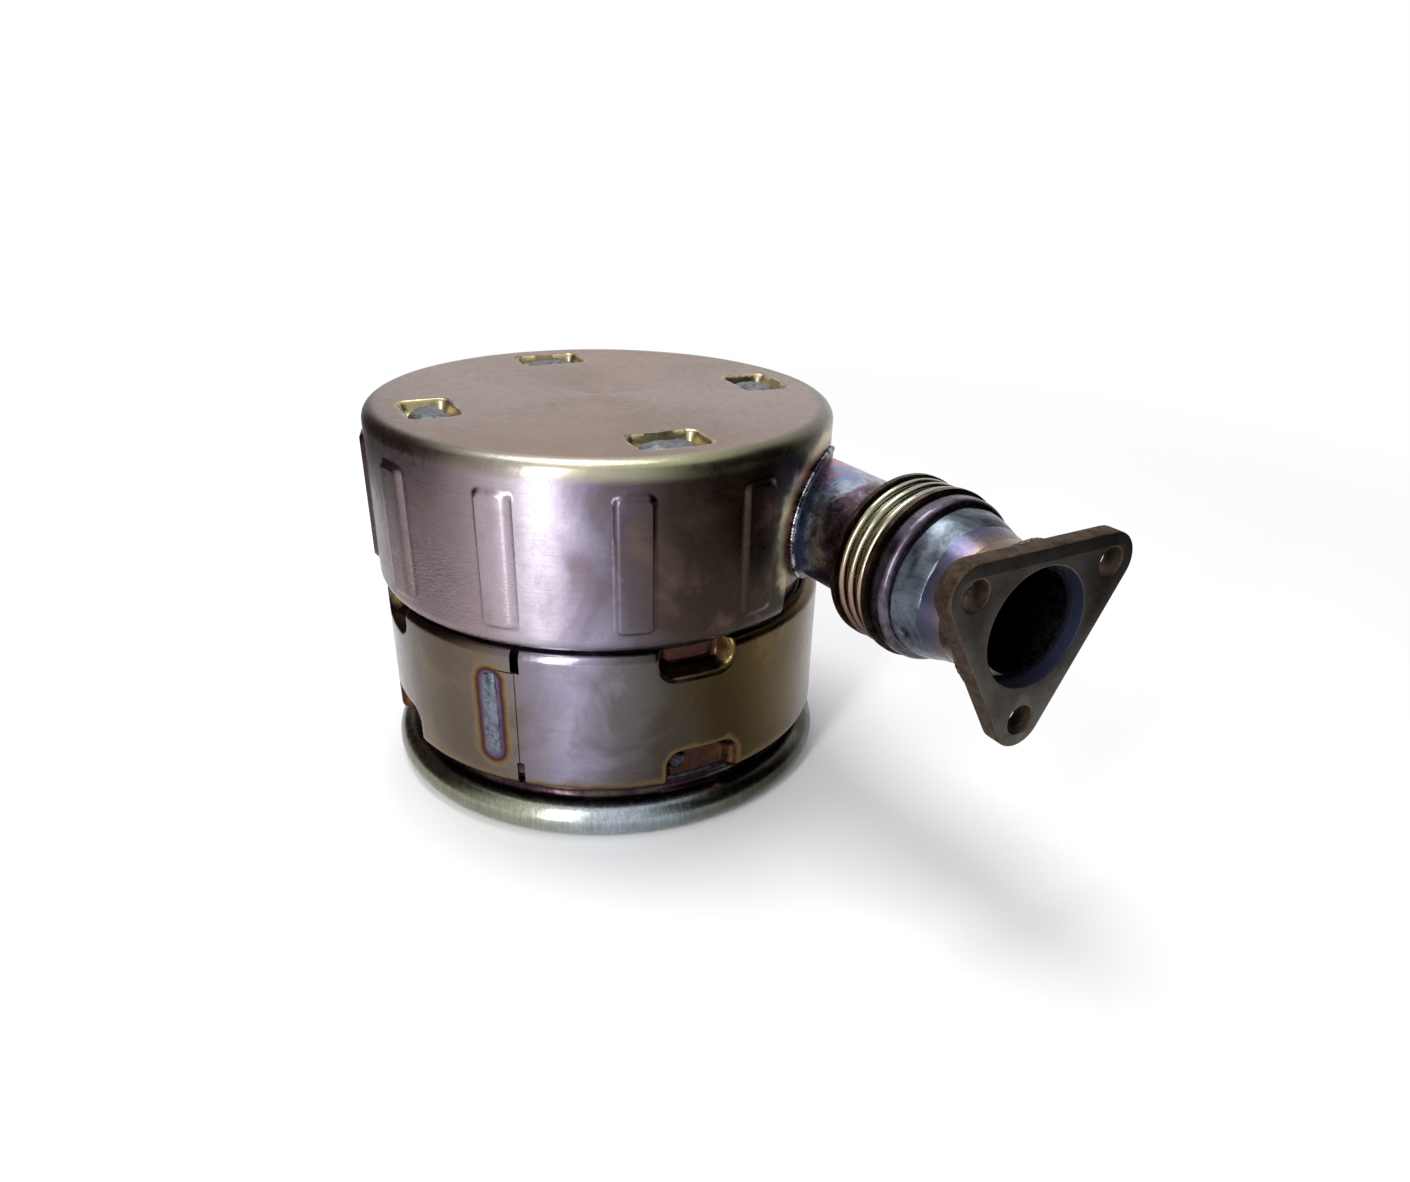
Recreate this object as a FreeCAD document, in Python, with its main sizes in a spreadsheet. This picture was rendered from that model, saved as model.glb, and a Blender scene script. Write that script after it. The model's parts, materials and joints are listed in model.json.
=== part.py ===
"""Catalytic converter module: a round oxidation catalyst in a shielded can.

The part stands on its outlet bead flange.  A tangential side inlet carries a
short bellows and a triangular three-bolt flange.

Frame (mm): the origin is the centre of the outlet flange's underside, +Z runs
up the drum axis and +X is the way the inlet flange faces.
"""
import FreeCAD, Part
import math
import os
import Sketcher

DOC = FreeCAD.newDocument("catalytic_converter")
SHEET = DOC.addObject("Spreadsheet::Sheet", "Sizes")

# name, value or formula, what it sets (mm and degrees)
SIZES = [
    # catalyst and can
    ("substrate_radius", 82.5, "catalyst brick, radius"),
    ("substrate_length", 76.0, "catalyst brick, length"),
    ("substrate_bottom", 12.0, "lower face of the brick"),
    ("mat_thickness", 4.0, "support mat between brick and can"),
    ("mat_end_gap", 5.0, "brick standing proud of the mat at each end"),
    ("seal_height", 3.0, "height of the mat seal rings"),
    ("can_wall", 1.5, "catalyst can, wall"),
    ("can_radius", "=substrate_radius + mat_thickness + can_wall", "can, outside radius"),
    ("can_bottom", 4.0, "lower edge of the can in its seat"),
    ("can_headroom", 3.0, "can above the brick"),
    ("can_top", "=substrate_bottom + substrate_length + can_headroom", "top of can"),
    # outlet flange
    ("seat_lip", 2.0, "flange lip under the can wall"),
    ("outlet_bore_radius", "=can_radius - can_wall - seat_lip", "outlet bore"),
    ("bead_half", 7.8, "outlet bead, radius of its round edge"),
    ("bead_overhang", 12.5, "outlet bead beyond the can"),
    ("bead_radius", "=can_radius + bead_overhang", "outlet bead, outside radius"),
    ("root_wall", 1.8, "collar of the flange, thickness"),
    ("root_radius", "=can_radius + root_wall", "collar over the can, radius"),
    ("root_bend", 3.0, "inside bend between collar and bead"),
    ("root_height", 2.4, "straight collar above the bend"),
    ("root_top", "=2 * bead_half + root_bend + root_height", "collar's upper edge"),
    ("outlet_weld_leg", 1.4, "outlet weld, leg length"),
    # inlet pipe and its place on the shell
    ("stub_radius", 24.3, "inlet stub, outside radius"),
    ("pipe_wall", 1.6, "wall of stub and neck"),
    ("port_sill", 1.0, "shell side below the stub"),
    ("port_inset", 3.7, "stub side to the shell's tangent"),
    # inlet shell
    ("slip_gap", 0.1, "clearance of one sheet slipped over another"),
    ("shell_wall", 1.5, "inlet shell, wall"),
    ("shell_step", 6.0, "inlet shell beyond the can"),
    ("shell_radius", "=can_radius + shell_step", "inlet shell, outside radius"),
    ("shell_lap", 7.0, "shell neck over the can"),
    ("shell_bottom", "=can_top - shell_lap", "lower edge of the shell neck"),
    ("shell_cone", 5.0, "height of the shell's neck-in"),
    ("shell_shoulder", "=can_top + shell_cone", "height where the neck-in ends"),
    ("pipe_height", "=shell_shoulder + port_sill + stub_radius", "inlet pipe axis height"),
    ("pipe_offset", "=shell_radius - port_inset - stub_radius", "pipe axis to drum axis"),
    ("shell_headroom", 11.4, "shell above the stub"),
    ("shell_top", "=pipe_height + stub_radius + shell_headroom", "top of the shell"),
    ("cap_bend", 5.0, "end cap, bend radius"),
    ("cap_skirt", 7.0, "end cap, depth over the shell wall"),
    ("cap_weld_leg", 1.4, "cap to shell weld, leg length"),
    ("shell_weld_leg", 2.2, "shell to can weld, leg length"),
    # upper heat shield
    ("shield_sheet", 1.2, "thickness of both heat shields"),
    ("shield_gap", 4.8, "air gap between shell and shield"),
    ("shield_radius", "=shell_radius + shield_gap + shield_sheet", "shield, outside radius"),
    ("crown_pocket_depth", 5.2, "depth of the top pockets"),
    ("overall_height", "=shell_top + shield_sheet + crown_pocket_depth", "top of the shield"),
    ("crown_radius", 6.0, "bend between shield top and side"),
    ("skirt_curl_radius", 7.0, "bend radius of the turned-in skirt"),
    ("skirt_curl_angle", 57.0, "angle the skirt is turned in"),
    ("crown_pocket_length", 30.0, "top pocket, length round the drum"),
    ("crown_pocket_width", 21.0, "top pocket, size along the radius"),
    ("crown_pocket_inset", 26.0, "shield side to the top pockets' centres"),
    ("crown_pocket_first", -6.0, "angle of the first top pocket"),
    ("crown_pocket_corner", 3.5, "top pocket corner radius"),
    ("crown_pocket_draft", 20.0, "slope of the top pocket walls"),
    ("plug_length", 18.0, "top plug weld, length round the drum"),
    ("plug_width", 9.5, "top plug weld, width"),
    ("plug_rise", 2.0, "top plug weld, height over the pocket floor"),
    # lower heat shield
    ("band_clearance", 1.5, "gap above and below the lower shield"),
    ("band_step", 1.6, "lower shield inside the upper one"),
    ("band_radius", "=shield_radius - band_step", "lower shield, outside radius"),
    ("band_drop", 4.5, "can's top down to the lower shield's upper edge"),
    ("band_bottom", "=root_top + band_clearance", "lower edge of the lower shield"),
    ("band_top", "=can_top - band_drop", "upper edge of the lower shield"),
    ("skirt_bottom", "=band_top + band_clearance", "lower edge of the upper shield"),
    ("band_lip_radius", 4.5, "bend radius of both rolled lips"),
    ("band_lip_flat", 1.6, "flat left beyond each rolled lip"),
    # side ribs
    ("rib_pitch", 30.0, "angle between side ribs"),
    ("rib_first", 100.7, "angle of the first side rib"),
    ("rib_number", 10, "side ribs, two positions left out at the inlet"),
    ("rib_width", 15.6, "side rib, width at its root"),
    ("rib_foot", 8.0, "skirt edge up to the ribs"),
    ("rib_head", 12.3, "ribs down from the shield's top"),
    ("rib_length", "=overall_height - rib_head - skirt_bottom - rib_foot", "rib height"),
    ("rib_middle", "=skirt_bottom + rib_foot + rib_length / 2", "height of the rib centre"),
    ("rib_rise", 1.8, "how far a rib stands out"),
    ("rib_corner", 3.0, "rib outline corner radius"),
    ("rib_draft", 30.0, "slope of the rib walls"),
    # lap seam
    ("seam_angle", -47.4, "angle of the lap seam in the lower shield"),
    ("seam_upper_width", 3.8, "width of the open slot above the lap"),
    ("seam_lower_width", 3.3, "width of the open slot below the lap"),
    ("seam_line_width", 0.7, "gap between sheet ends over the tab"),
    ("tab_foot", 12.0, "shield edge up to the joggled tab"),
    ("tab_head", 10.5, "joggled tab down from the shield edge"),
    ("tab_bottom", "=band_bottom + tab_foot", "lower edge of the joggled tab"),
    ("tab_top", "=band_top - tab_head", "upper edge of the joggled tab"),
    ("tab_sweep", 15.0, "angle covered by the tab"),
    ("tab_lead", 3.0, "angle of tab beyond the seam line"),
    ("seam_weld_lead", 7.1, "angle from the seam to the elongated plug weld"),
    ("seam_weld_angle", "=seam_angle - seam_weld_lead", "angle of that weld"),
    ("seam_weld_margin", 1.2, "tab beyond each end of that weld"),
    ("seam_weld_length", "=tab_top - tab_bottom - 2 * seam_weld_margin", "its length"),
    ("seam_weld_middle", "=(tab_top + tab_bottom) / 2", "its centre height"),
    ("seam_weld_width", 7.6, "elongated plug weld, width"),
    ("seam_weld_rise", 1.0, "elongated plug weld, height over the sheet"),
    # pressed notches and dimples
    ("notch_first", -4.0, "angle of the first pressed notch"),
    ("press_width", 33.0, "width of notches and dimples"),
    ("press_corner", 7.0, "corner radius of notches and dimples"),
    ("notch_depth", 13.0, "pressed notch, height from the top lip"),
    ("dimple_first", -2.0, "angle of the first pressed dimple"),
    ("dimple_depth", 16.5, "pressed dimple, height from the bottom lip"),
    ("press_draft", 12.0, "slope of notch and dimple walls"),
    ("press_clearance", 0.1, "press floor to can"),
    ("spot_lead", 5.5, "angle from a dimple's middle to its spot weld"),
    ("spot_angle", "=dimple_first - spot_lead", "angle of the first spot weld"),
    ("spot_radius", 3.3, "spot weld in a dimple, radius"),
    ("spot_seat", 0.8, "spot weld root above the dimple floor's middle"),
    ("spot_foot", 8.0, "shield edge up to the spot welds"),
    ("spot_height", "=band_bottom + spot_foot", "height of the spot welds"),
    ("spot_rise", 1.4, "spot weld, height over the dimple floor"),
    # opening for the inlet
    ("slot_clearance", 3.7, "shield slot beyond the stub"),
    ("slot_flare", 2.5, "extra half width of the slot at its mouth"),
    ("stub_weld_leg", 2.6, "stub to shell weld, leg length"),
    ("stub_weld_rise", 1.0, "stub weld, height over the shield"),
    # inlet flange
    ("inlet_reach", 99.0, "shield side to the inlet flange face"),
    ("face_distance", "=shield_radius + inlet_reach", "drum axis to flange face"),
    ("flange_thickness", 8.0, "inlet flange, thickness"),
    ("bolt_circle_radius", 36.1, "inlet flange, bolt circle radius"),
    ("bolt_hole_radius", 5.5, "inlet flange, bolt hole radius"),
    ("hole_margin", 5.5, "plate beyond a bolt hole"),
    ("flange_corner", "=bolt_hole_radius + hole_margin", "flange corner radius"),
    ("sleeve_gap", 1.5, "flow sleeve to neck"),
    ("sleeve_radius", "=stub_radius - pipe_wall - sleeve_gap", "flow sleeve, outside"),
    ("bore_step", 1.0, "flange bore beyond the sleeve"),
    ("flange_bore_radius", "=sleeve_radius + bore_step", "machined bore at the face"),
    ("sleeve_wall", 1.5, "flow sleeve, wall"),
    ("sleeve_recess", 5.5, "flange face down to the sleeve end"),
    ("sleeve_length", 78.0, "flow sleeve, length"),
    ("flange_weld_leg", 4.5, "fillet weld behind the inlet flange"),
    # neck, shoulder, collars and bellows
    ("neck_straight", 14.0, "straight run of the neck behind the flange"),
    ("neck_end", 43.0, "flange face back to the wide end of the neck"),
    ("neck_flare", 4.1, "growth in radius along the neck"),
    ("neck_end_radius", "=stub_radius + neck_flare", "neck radius at its wide end"),
    ("neck_weld_start", 29.0, "flange face back to the neck weld"),
    ("neck_weld_rise", 1.6, "neck weld, height over the neck"),
    ("shoulder_length", 9.4, "shoulder ring, length"),
    ("shoulder_step", 3.4, "shoulder ring beyond the neck"),
    ("shoulder_radius", "=neck_end_radius + shoulder_step", "shoulder ring, outside"),
    ("shoulder_bend", 3.2, "shoulder ring, bend radius"),
    ("shoulder_wall", 1.6, "shoulder ring, wall"),
    ("collar_thickness", 2.0, "both bellows collars, thickness"),
    ("front_collar_back", "=neck_end + shoulder_length + collar_thickness", "its rear"),
    ("bellows_length", 16.4, "bellows between the collars"),
    ("bellows_step", 4.3, "bellows root beyond the stub"),
    ("bellows_rise", 4.0, "height of a convolution"),
    ("bellows_root", "=stub_radius + bellows_step", "bellows root, outside radius"),
    ("bellows_crest", "=bellows_root + bellows_rise", "bellows crest, outside radius"),
    ("bellows_wall", 0.7, "bellows wall"),
    ("collar_rim", 0.6, "collars beyond the bellows"),
    ("collar_radius", "=bellows_crest + collar_rim", "both collars, outside radius"),
    ("collar_sleeve", 7.0, "rear collar, sleeve length on the stub"),
    ("collar_sleeve_wall", 1.7, "rear collar, sleeve thickness"),
]


class Size:
    """A size that carries both its number and the sheet expression behind it."""

    def __init__(self, number, text):
        self.number = float(number)
        self.text = text

    @staticmethod
    def of(value):
        if isinstance(value, Size):
            return value
        return Size(value, "(%r)" % float(value))

    def __add__(self, other):
        other = Size.of(other)
        return Size(self.number + other.number, "(%s + %s)" % (self.text, other.text))

    def __sub__(self, other):
        other = Size.of(other)
        return Size(self.number - other.number, "(%s - %s)" % (self.text, other.text))

    def __mul__(self, other):
        other = Size.of(other)
        return Size(self.number * other.number, "(%s * %s)" % (self.text, other.text))

    def __truediv__(self, other):
        other = Size.of(other)
        return Size(self.number / other.number, "(%s / %s)" % (self.text, other.text))

    def __neg__(self):
        return Size(-self.number, "(-1 * %s)" % self.text)

    __radd__ = __add__
    __rmul__ = __mul__

    def __rsub__(self, other):
        return Size.of(other) - self


def sine(angle):
    return Size(math.sin(math.radians(angle.number)), "sin(%s)" % angle.text)


def cosine(angle):
    return Size(math.cos(math.radians(angle.number)), "cos(%s)" % angle.text)


for row, (name, value, note) in enumerate(SIZES, start=1):
    SHEET.set("A%d" % row, name)
    SHEET.set("B%d" % row, "%s" % value)
    SHEET.setAlias("B%d" % row, name)
    SHEET.set("C%d" % row, note)
DOC.recompute()
S = {name: Size(SHEET.get(name), "Sizes.%s" % name) for name, value, note in SIZES}


# ---------------------------------------------------------------- helpers

def body(label, offset=None):
    """New body; offset is its (x, y, z) place in the part."""
    made = DOC.addObject("PartDesign::Body", label)
    made.Label = label
    if offset is not None:
        for axis, value in zip("xyz", offset):
            made.setExpression("Placement.Base.%s" % axis, Size.of(value).text)
    return made


def origin_feature(owner, role):
    return [item for item in owner.Origin.OriginFeatures if item.Role == role][0]


def sketch_on(owner, role, name, lift=None, turn=None):
    """Sketch on one of the body's own origin planes.

    lift moves it along the plane's normal.  turn, for the YZ plane, swings it
    round the Z axis so that it faces outwards at that angle and radius.
    """
    sketch = owner.newObject("Sketcher::SketchObject", name)
    sketch.AttachmentSupport = [(origin_feature(owner, role), "")]
    sketch.MapMode = "FlatFace"
    if turn is not None:
        spin = FreeCAD.Rotation(FreeCAD.Vector(0, 1, 0), turn.number)
        sketch.AttachmentOffset = FreeCAD.Placement(FreeCAD.Vector(0, 0, 0), spin)
        sketch.setExpression("AttachmentOffset.Base.x", (lift * sine(turn)).text)
        sketch.setExpression("AttachmentOffset.Base.z", (lift * cosine(turn)).text)
        sketch.setExpression("AttachmentOffset.Rotation.Angle", turn.text)
    elif lift is not None:
        sketch.setExpression("AttachmentOffset.Base.z", Size.of(lift).text)
    return sketch


def bind(sketch, index, name, size):
    sketch.renameConstraint(index, name)
    sketch.setExpression("Constraints.%s" % name, size.text)


def arc_between(start, end, radius, turn):
    """Minor arc from start to end; turn is 1 for anticlockwise, -1 for clockwise."""
    chord = end - start
    height = math.sqrt(max(radius * radius - chord.Length ** 2 / 4.0, 0.0))
    normal = FreeCAD.Vector(-chord.y, chord.x, 0).normalize()
    centre = (start + end) * 0.5 + normal * height * turn
    angles = [math.atan2(p.y - centre.y, p.x - centre.x) for p in (start, end)]
    if turn < 0:
        angles.reverse()
    if angles[1] < angles[0]:
        angles[1] += 2 * math.pi
    circle = Part.Circle(centre, FreeCAD.Vector(0, 0, 1), radius)
    return Part.ArcOfCircle(circle, angles[0], angles[1])


def outline(sketch, points, bends=None, tag="p"):
    """Closed outline through points, every corner and bend held by a size.

    bends maps the index of an edge to (radius, turn) where it is an arc.
    """
    bends = bends or {}
    pairs = [(Size.of(x), Size.of(y)) for x, y in points]
    places = [FreeCAD.Vector(x.number, y.number, 0) for x, y in pairs]
    total = len(places)
    ends = []
    for i in range(total):
        start, end = places[i], places[(i + 1) % total]
        if i in bends:
            radius, turn = bends[i]
            shape = arc_between(start, end, Size.of(radius).number, turn)
            number = sketch.addGeometry(shape, False)
            ends.append((number, 1, 2) if turn > 0 else (number, 2, 1))
        else:
            number = sketch.addGeometry(Part.LineSegment(start, end), False)
            ends.append((number, 1, 2))
    for i in range(total):
        here, after = ends[i], ends[(i + 1) % total]
        sketch.addConstraint(
            Sketcher.Constraint("Coincident", here[0], here[2], after[0], after[1]))
    for i, (x, y) in enumerate(pairs):
        edge, first = ends[i][0], ends[i][1]
        for kind, size, letter in (("DistanceX", x, "x"), ("DistanceY", y, "y")):
            made = sketch.addConstraint(
                Sketcher.Constraint(kind, -1, 1, edge, first, size.number))
            bind(sketch, made, "%s%d%s" % (tag, i, letter), size)
    for i, (radius, turn) in bends.items():
        radius = Size.of(radius)
        made = sketch.addConstraint(Sketcher.Constraint("Radius", ends[i][0], radius.number))
        bind(sketch, made, "%s%dr" % (tag, i), radius)


def circle(sketch, x, y, radius, tag="c"):
    x, y, radius = Size.of(x), Size.of(y), Size.of(radius)
    centre = FreeCAD.Vector(x.number, y.number, 0)
    number = sketch.addGeometry(
        Part.Circle(centre, FreeCAD.Vector(0, 0, 1), radius.number), False)
    for kind, size, letter in (("DistanceX", x, "x"), ("DistanceY", y, "y")):
        made = sketch.addConstraint(
            Sketcher.Constraint(kind, -1, 1, number, 3, size.number))
        bind(sketch, made, tag + letter, size)
    made = sketch.addConstraint(Sketcher.Constraint("Radius", number, radius.number))
    bind(sketch, made, tag + "r", radius)


def rounded_box(sketch, x, y, width, height, corner, tag="b"):
    """Rectangle with rounded corners, centred on (x, y)."""
    w, h = width / 2, height / 2
    points = [
        (x - w + corner, y - h), (x + w - corner, y - h),
        (x + w, y - h + corner), (x + w, y + h - corner),
        (x + w - corner, y + h), (x - w + corner, y + h),
        (x - w, y + h - corner), (x - w, y - h + corner),
    ]
    outline(sketch, points, {i: (corner, 1) for i in (1, 3, 5, 7)}, tag)


def revolve(owner, sketch, axis="V_Axis", angle=360, name="Turned"):
    made = owner.newObject("PartDesign::Revolution", name)
    made.Profile = sketch
    made.ReferenceAxis = (sketch, [axis])
    if isinstance(angle, Size):
        made.setExpression("Angle", angle.text)
    else:
        made.Angle = angle
    return made


def pad(owner, sketch, length, draft=None, down=False, name="Pad"):
    """Pad along the sketch normal; draft narrows it as it goes."""
    made = owner.newObject("PartDesign::Pad", name)
    made.Profile = sketch
    made.Reversed = down
    made.setExpression("Length", Size.of(length).text)
    if draft is not None:
        made.setExpression("TaperAngle", (-draft).text)
    return made


def cut(owner, sketch, length, draft=None, up=False, name="Pocket"):
    """Pocket against the sketch normal; draft narrows it as it goes."""
    made = owner.newObject("PartDesign::Pocket", name)
    made.Profile = sketch
    made.Reversed = up
    made.setExpression("Length", Size.of(length).text)
    if draft is not None:
        made.setExpression("TaperAngle", (-draft).text)
    return made


def polar(owner, originals, number, sweep=360, name="Round"):
    made = owner.newObject("PartDesign::PolarPattern", name)
    made.Originals = originals
    made.Axis = (origin_feature(owner, "Z_Axis"), [""])
    if isinstance(sweep, Size):
        made.setExpression("Angle", sweep.text)
    else:
        made.Angle = sweep
    if isinstance(number, Size):
        made.setExpression("Occurrences", number.text)
    else:
        made.Occurrences = number
    owner.Tip = made
    return made


# ------------------------------------------------------ upper heat shield

def press_stadium(sketch, x, y, length, width):
    """Long slot outline with round ends, its length along x."""
    r = width / 2
    half = length / 2 - r
    points = [(x - half, y - r), (x + half, y - r), (x + half + r, y),
              (x + half, y + r), (x - half, y + r), (x - half - r, y)]
    outline(sketch, points, {1: (r, 1), 2: (r, 1), 4: (r, 1), 5: (r, 1)})


def upper_heat_shield():
    """Deep-drawn cup with raised side ribs and pressed pockets in its top."""
    part = body("upper_heat_shield")
    t = S["shield_sheet"]
    r_out = S["shield_radius"]
    top = S["overall_height"]
    curl, turned = S["skirt_curl_radius"], S["skirt_curl_angle"]
    curl_z = S["skirt_bottom"] + curl * sine(turned)
    profile = sketch_on(part, "XZ_Plane", "CupProfile")
    crown = S["crown_radius"]
    outline(profile, [
        (0, top - t), (r_out - crown, top - t), (r_out - t, top - crown),
        (r_out - t, curl_z),
        (r_out - curl + (curl - t) * cosine(turned), curl_z - (curl - t) * sine(turned)),
        (r_out - curl + curl * cosine(turned), curl_z - curl * sine(turned)),
        (r_out, curl_z), (r_out, top - crown), (r_out - crown, top), (0, top),
    ], {1: (crown - t, -1), 3: (curl - t, -1), 5: (curl, 1), 7: (crown, 1)})
    revolve(part, profile, name="Cup")

    first = S["rib_first"]
    rib = sketch_on(part, "YZ_Plane", "RibOutline", lift=r_out - t * 0.5, turn=first)
    rounded_box(rib, 0, S["rib_middle"], S["rib_width"], S["rib_length"], S["rib_corner"])
    raised = pad(part, rib, S["rib_rise"] + t * 0.5, S["rib_draft"], name="Rib")
    back = sketch_on(part, "YZ_Plane", "RibBack", lift=r_out - t * 1.6, turn=first)
    rounded_box(back, 0, S["rib_middle"], S["rib_width"] - t * 1.6,
                S["rib_length"] - t * 1.6, S["rib_corner"] - t * 0.8)
    hollow = cut(part, back, S["rib_rise"] + t * 0.6, S["rib_draft"] * 0.5,
                 up=True, name="RibHollow")
    polar(part, [raised, hollow], S["rib_number"],
          S["rib_pitch"] * (S["rib_number"] - 1), name="Ribs")

    angle = S["crown_pocket_first"]
    depth = S["crown_pocket_depth"]
    draft = S["crown_pocket_draft"]

    def pocket_sketch(name, height, grow):
        place = sketch_on(part, "XY_Plane", name, lift=height)
        place.AttachmentOffset = FreeCAD.Placement(
            FreeCAD.Vector(0, 0, height.number),
            FreeCAD.Rotation(FreeCAD.Vector(0, 0, 1), angle.number))
        place.setExpression("AttachmentOffset.Base.z", height.text)
        place.setExpression("AttachmentOffset.Rotation.Angle", (angle + 360).text)
        rounded_box(place, r_out - S["crown_pocket_inset"], 0,
                    S["crown_pocket_width"] + grow * 2, S["crown_pocket_length"] + grow * 2,
                    S["crown_pocket_corner"] + grow)
        return place

    cup = pad(part, pocket_sketch("PocketSkin", top - t * 0.5, t), depth + t * 0.5,
              draft, down=True, name="PocketCup")
    well = cut(part, pocket_sketch("PocketWell", top, t * 0), depth, draft,
               name="PocketWell_")
    polar(part, [cup, well], 4, name="Pockets")
    plug = plug_sketch(part, "PlugHoleOutline", S["shell_top"])
    hole = cut(part, plug, t * 2, up=True, name="PlugHole")
    polar(part, [hole], 4, name="PlugHoles")

    slot = sketch_on(part, "YZ_Plane", "InletSlot")
    y, z = S["pipe_offset"], S["pipe_height"]
    reach = S["stub_radius"] + S["slot_clearance"]
    flare = reach + S["slot_flare"]
    low = S["skirt_bottom"] - 5
    outline(slot, [(y + reach, z), (y, z + reach), (y - reach, z),
                   (y - flare, S["skirt_bottom"]), (y - flare, low),
                   (y + flare, low), (y + flare, S["skirt_bottom"])],
            {0: (reach, 1), 1: (reach, 1)})
    cut(part, slot, r_out * 1.2, up=True, name="InletOpening")
    return part


def plug_sketch(part, name, height):
    """Outline of a top plug weld, lying in its pocket."""
    angle = S["crown_pocket_first"]
    place = sketch_on(part, "XY_Plane", name, lift=height)
    place.AttachmentOffset = FreeCAD.Placement(
        FreeCAD.Vector(0, 0, height.number),
        FreeCAD.Rotation(FreeCAD.Vector(0, 0, 1), angle.number + 90))
    place.setExpression("AttachmentOffset.Base.z", height.text)
    place.setExpression("AttachmentOffset.Rotation.Angle", (angle + 90).text)
    press_stadium(place, Size.of(0), S["crown_pocket_inset"] - S["shield_radius"],
                  S["plug_length"], S["plug_width"])
    return place


def top_plug_welds():
    """Four plug welds tying the shield's pocket floors to the shell."""
    part = body("top_plug_welds")
    base = plug_sketch(part, "PlugBase", S["shell_top"])
    root = pad(part, base, S["shield_sheet"], name="PlugRoot")
    crown = plug_sketch(part, "PlugCrown", S["shell_top"] + S["shield_sheet"])
    dome = pad(part, crown, S["plug_rise"], S["crown_pocket_draft"] * 2, name="PlugDome")
    polar(part, [root, dome], 4, name="Plugs")
    return part


# ------------------------------------------------------ lower heat shield

def press_outline(sketch, edge, closed, up):
    """Round-cornered outline, open past the shield edge; up is 1 or -1."""
    half, corner = S["press_width"] / 2, S["press_corner"]
    knee = closed - corner * up
    points = [(-half, edge), (-half, knee), (corner - half, closed),
              (half - corner, closed), (half, knee), (half, edge)]
    outline(sketch, points, {1: (corner, -up), 3: (corner, -up)})


def lower_heat_shield():
    """Rolled band with a lap seam, four edge notches and four dimples."""
    part = body("lower_heat_shield")
    t = S["shield_sheet"]
    r_out = S["band_radius"]
    low, top = S["band_bottom"], S["band_top"]
    lip, flat = S["band_lip_radius"], S["band_lip_flat"]
    profile = sketch_on(part, "XZ_Plane", "BandProfile")
    outline(profile, [
        (r_out - lip - flat, low), (r_out - lip, low), (r_out, low + lip),
        (r_out, top - lip), (r_out - lip, top), (r_out - lip - flat, top),
        (r_out - lip - flat, top - t), (r_out - lip, top - t),
        (r_out - t, top - lip), (r_out - t, low + lip),
        (r_out - lip, low + t), (r_out - lip - flat, low + t),
    ], {1: (lip, 1), 3: (lip, 1), 7: (lip - t, -1), 9: (lip - t, -1)})
    revolve(part, profile, name="Band")

    inner = S["can_radius"] + S["press_clearance"]
    outer_plane = r_out + 1
    boss_plane = r_out - 1.8
    presses = [("Notch", S["notch_first"], top - lip, top + 8,
                top - S["notch_depth"], -1),
               ("Dimple", S["dimple_first"], low + lip, low - 8,
                low + S["dimple_depth"], 1)]
    for name, angle, skin_edge, open_edge, closed, up in presses:
        skin = sketch_on(part, "YZ_Plane", name + "Skin", lift=boss_plane, turn=angle)
        press_outline(skin, skin_edge, closed, up)
        cup = pad(part, skin, boss_plane - inner, S["press_draft"], down=True,
                  name=name + "Cup")
        well = sketch_on(part, "YZ_Plane", name + "Well", lift=outer_plane, turn=angle)
        press_outline(well, open_edge, closed, up)
        sunk = cut(part, well, outer_plane - inner - t, S["press_draft"],
                   name=name + "Sunk")
        polar(part, [cup, sunk], 4, name=name + "es")

    hole = sketch_on(part, "YZ_Plane", "SpotHole", lift=inner - 1, turn=S["spot_angle"])
    circle(hole, 0, S["spot_height"], S["spot_radius"])
    spot = cut(part, hole, t + 3, up=True, name="SpotHoles_")
    polar(part, [spot], 4, name="SpotHoles")

    seam = S["seam_angle"]
    tab = sketch_on(part, "XZ_Plane", "TabProfile")
    turned = seam - S["tab_sweep"] + S["tab_lead"]
    tab.AttachmentOffset = FreeCAD.Placement(
        FreeCAD.Vector(0, 0, 0),
        FreeCAD.Rotation(FreeCAD.Vector(0, 1, 0), turned.number))
    tab.setExpression("AttachmentOffset.Rotation.Angle", (turned + 360).text)
    outline(tab, [(r_out - t * 2, S["tab_bottom"]), (r_out - t * 0.5, S["tab_bottom"]),
                  (r_out - t * 0.5, S["tab_top"]), (r_out - t * 2, S["tab_top"])])
    revolve(part, tab, angle=S["tab_sweep"], name="Tab")

    gaps = [("UpperSlot", S["seam_upper_width"], S["tab_top"], top + 2, r_out - 12),
            ("LowerSlot", S["seam_lower_width"], low - 2, S["tab_bottom"], r_out - 12),
            ("SeamLine", S["seam_line_width"], S["tab_bottom"], S["tab_top"], r_out - t)]
    for name, width, start, end, floor in gaps:
        gap = sketch_on(part, "YZ_Plane", name + "Outline", lift=r_out + 2, turn=seam)
        half = width / 2
        outline(gap, [(-half, start), (half, start), (half, end), (-half, end)])
        cut(part, gap, r_out + 2 - floor, name=name)

    plug = seam_weld_sketch(part, "SeamWeldHole", r_out + 2)
    cut(part, plug, t + 2, name="SeamWeldSlot")
    return part


def seam_weld_sketch(part, name, lift):
    place = sketch_on(part, "YZ_Plane", name, lift=lift, turn=S["seam_weld_angle"])
    r = S["seam_weld_width"] / 2
    half = S["seam_weld_length"] / 2 - r
    z = S["seam_weld_middle"]
    outline(place, [(r, z - half), (r, z + half), (0, z + half + r),
                    (-r, z + half), (-r, z - half), (0, z - half - r)],
            {1: (r, 1), 2: (r, 1), 4: (r, 1), 5: (r, 1)})
    return place


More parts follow.
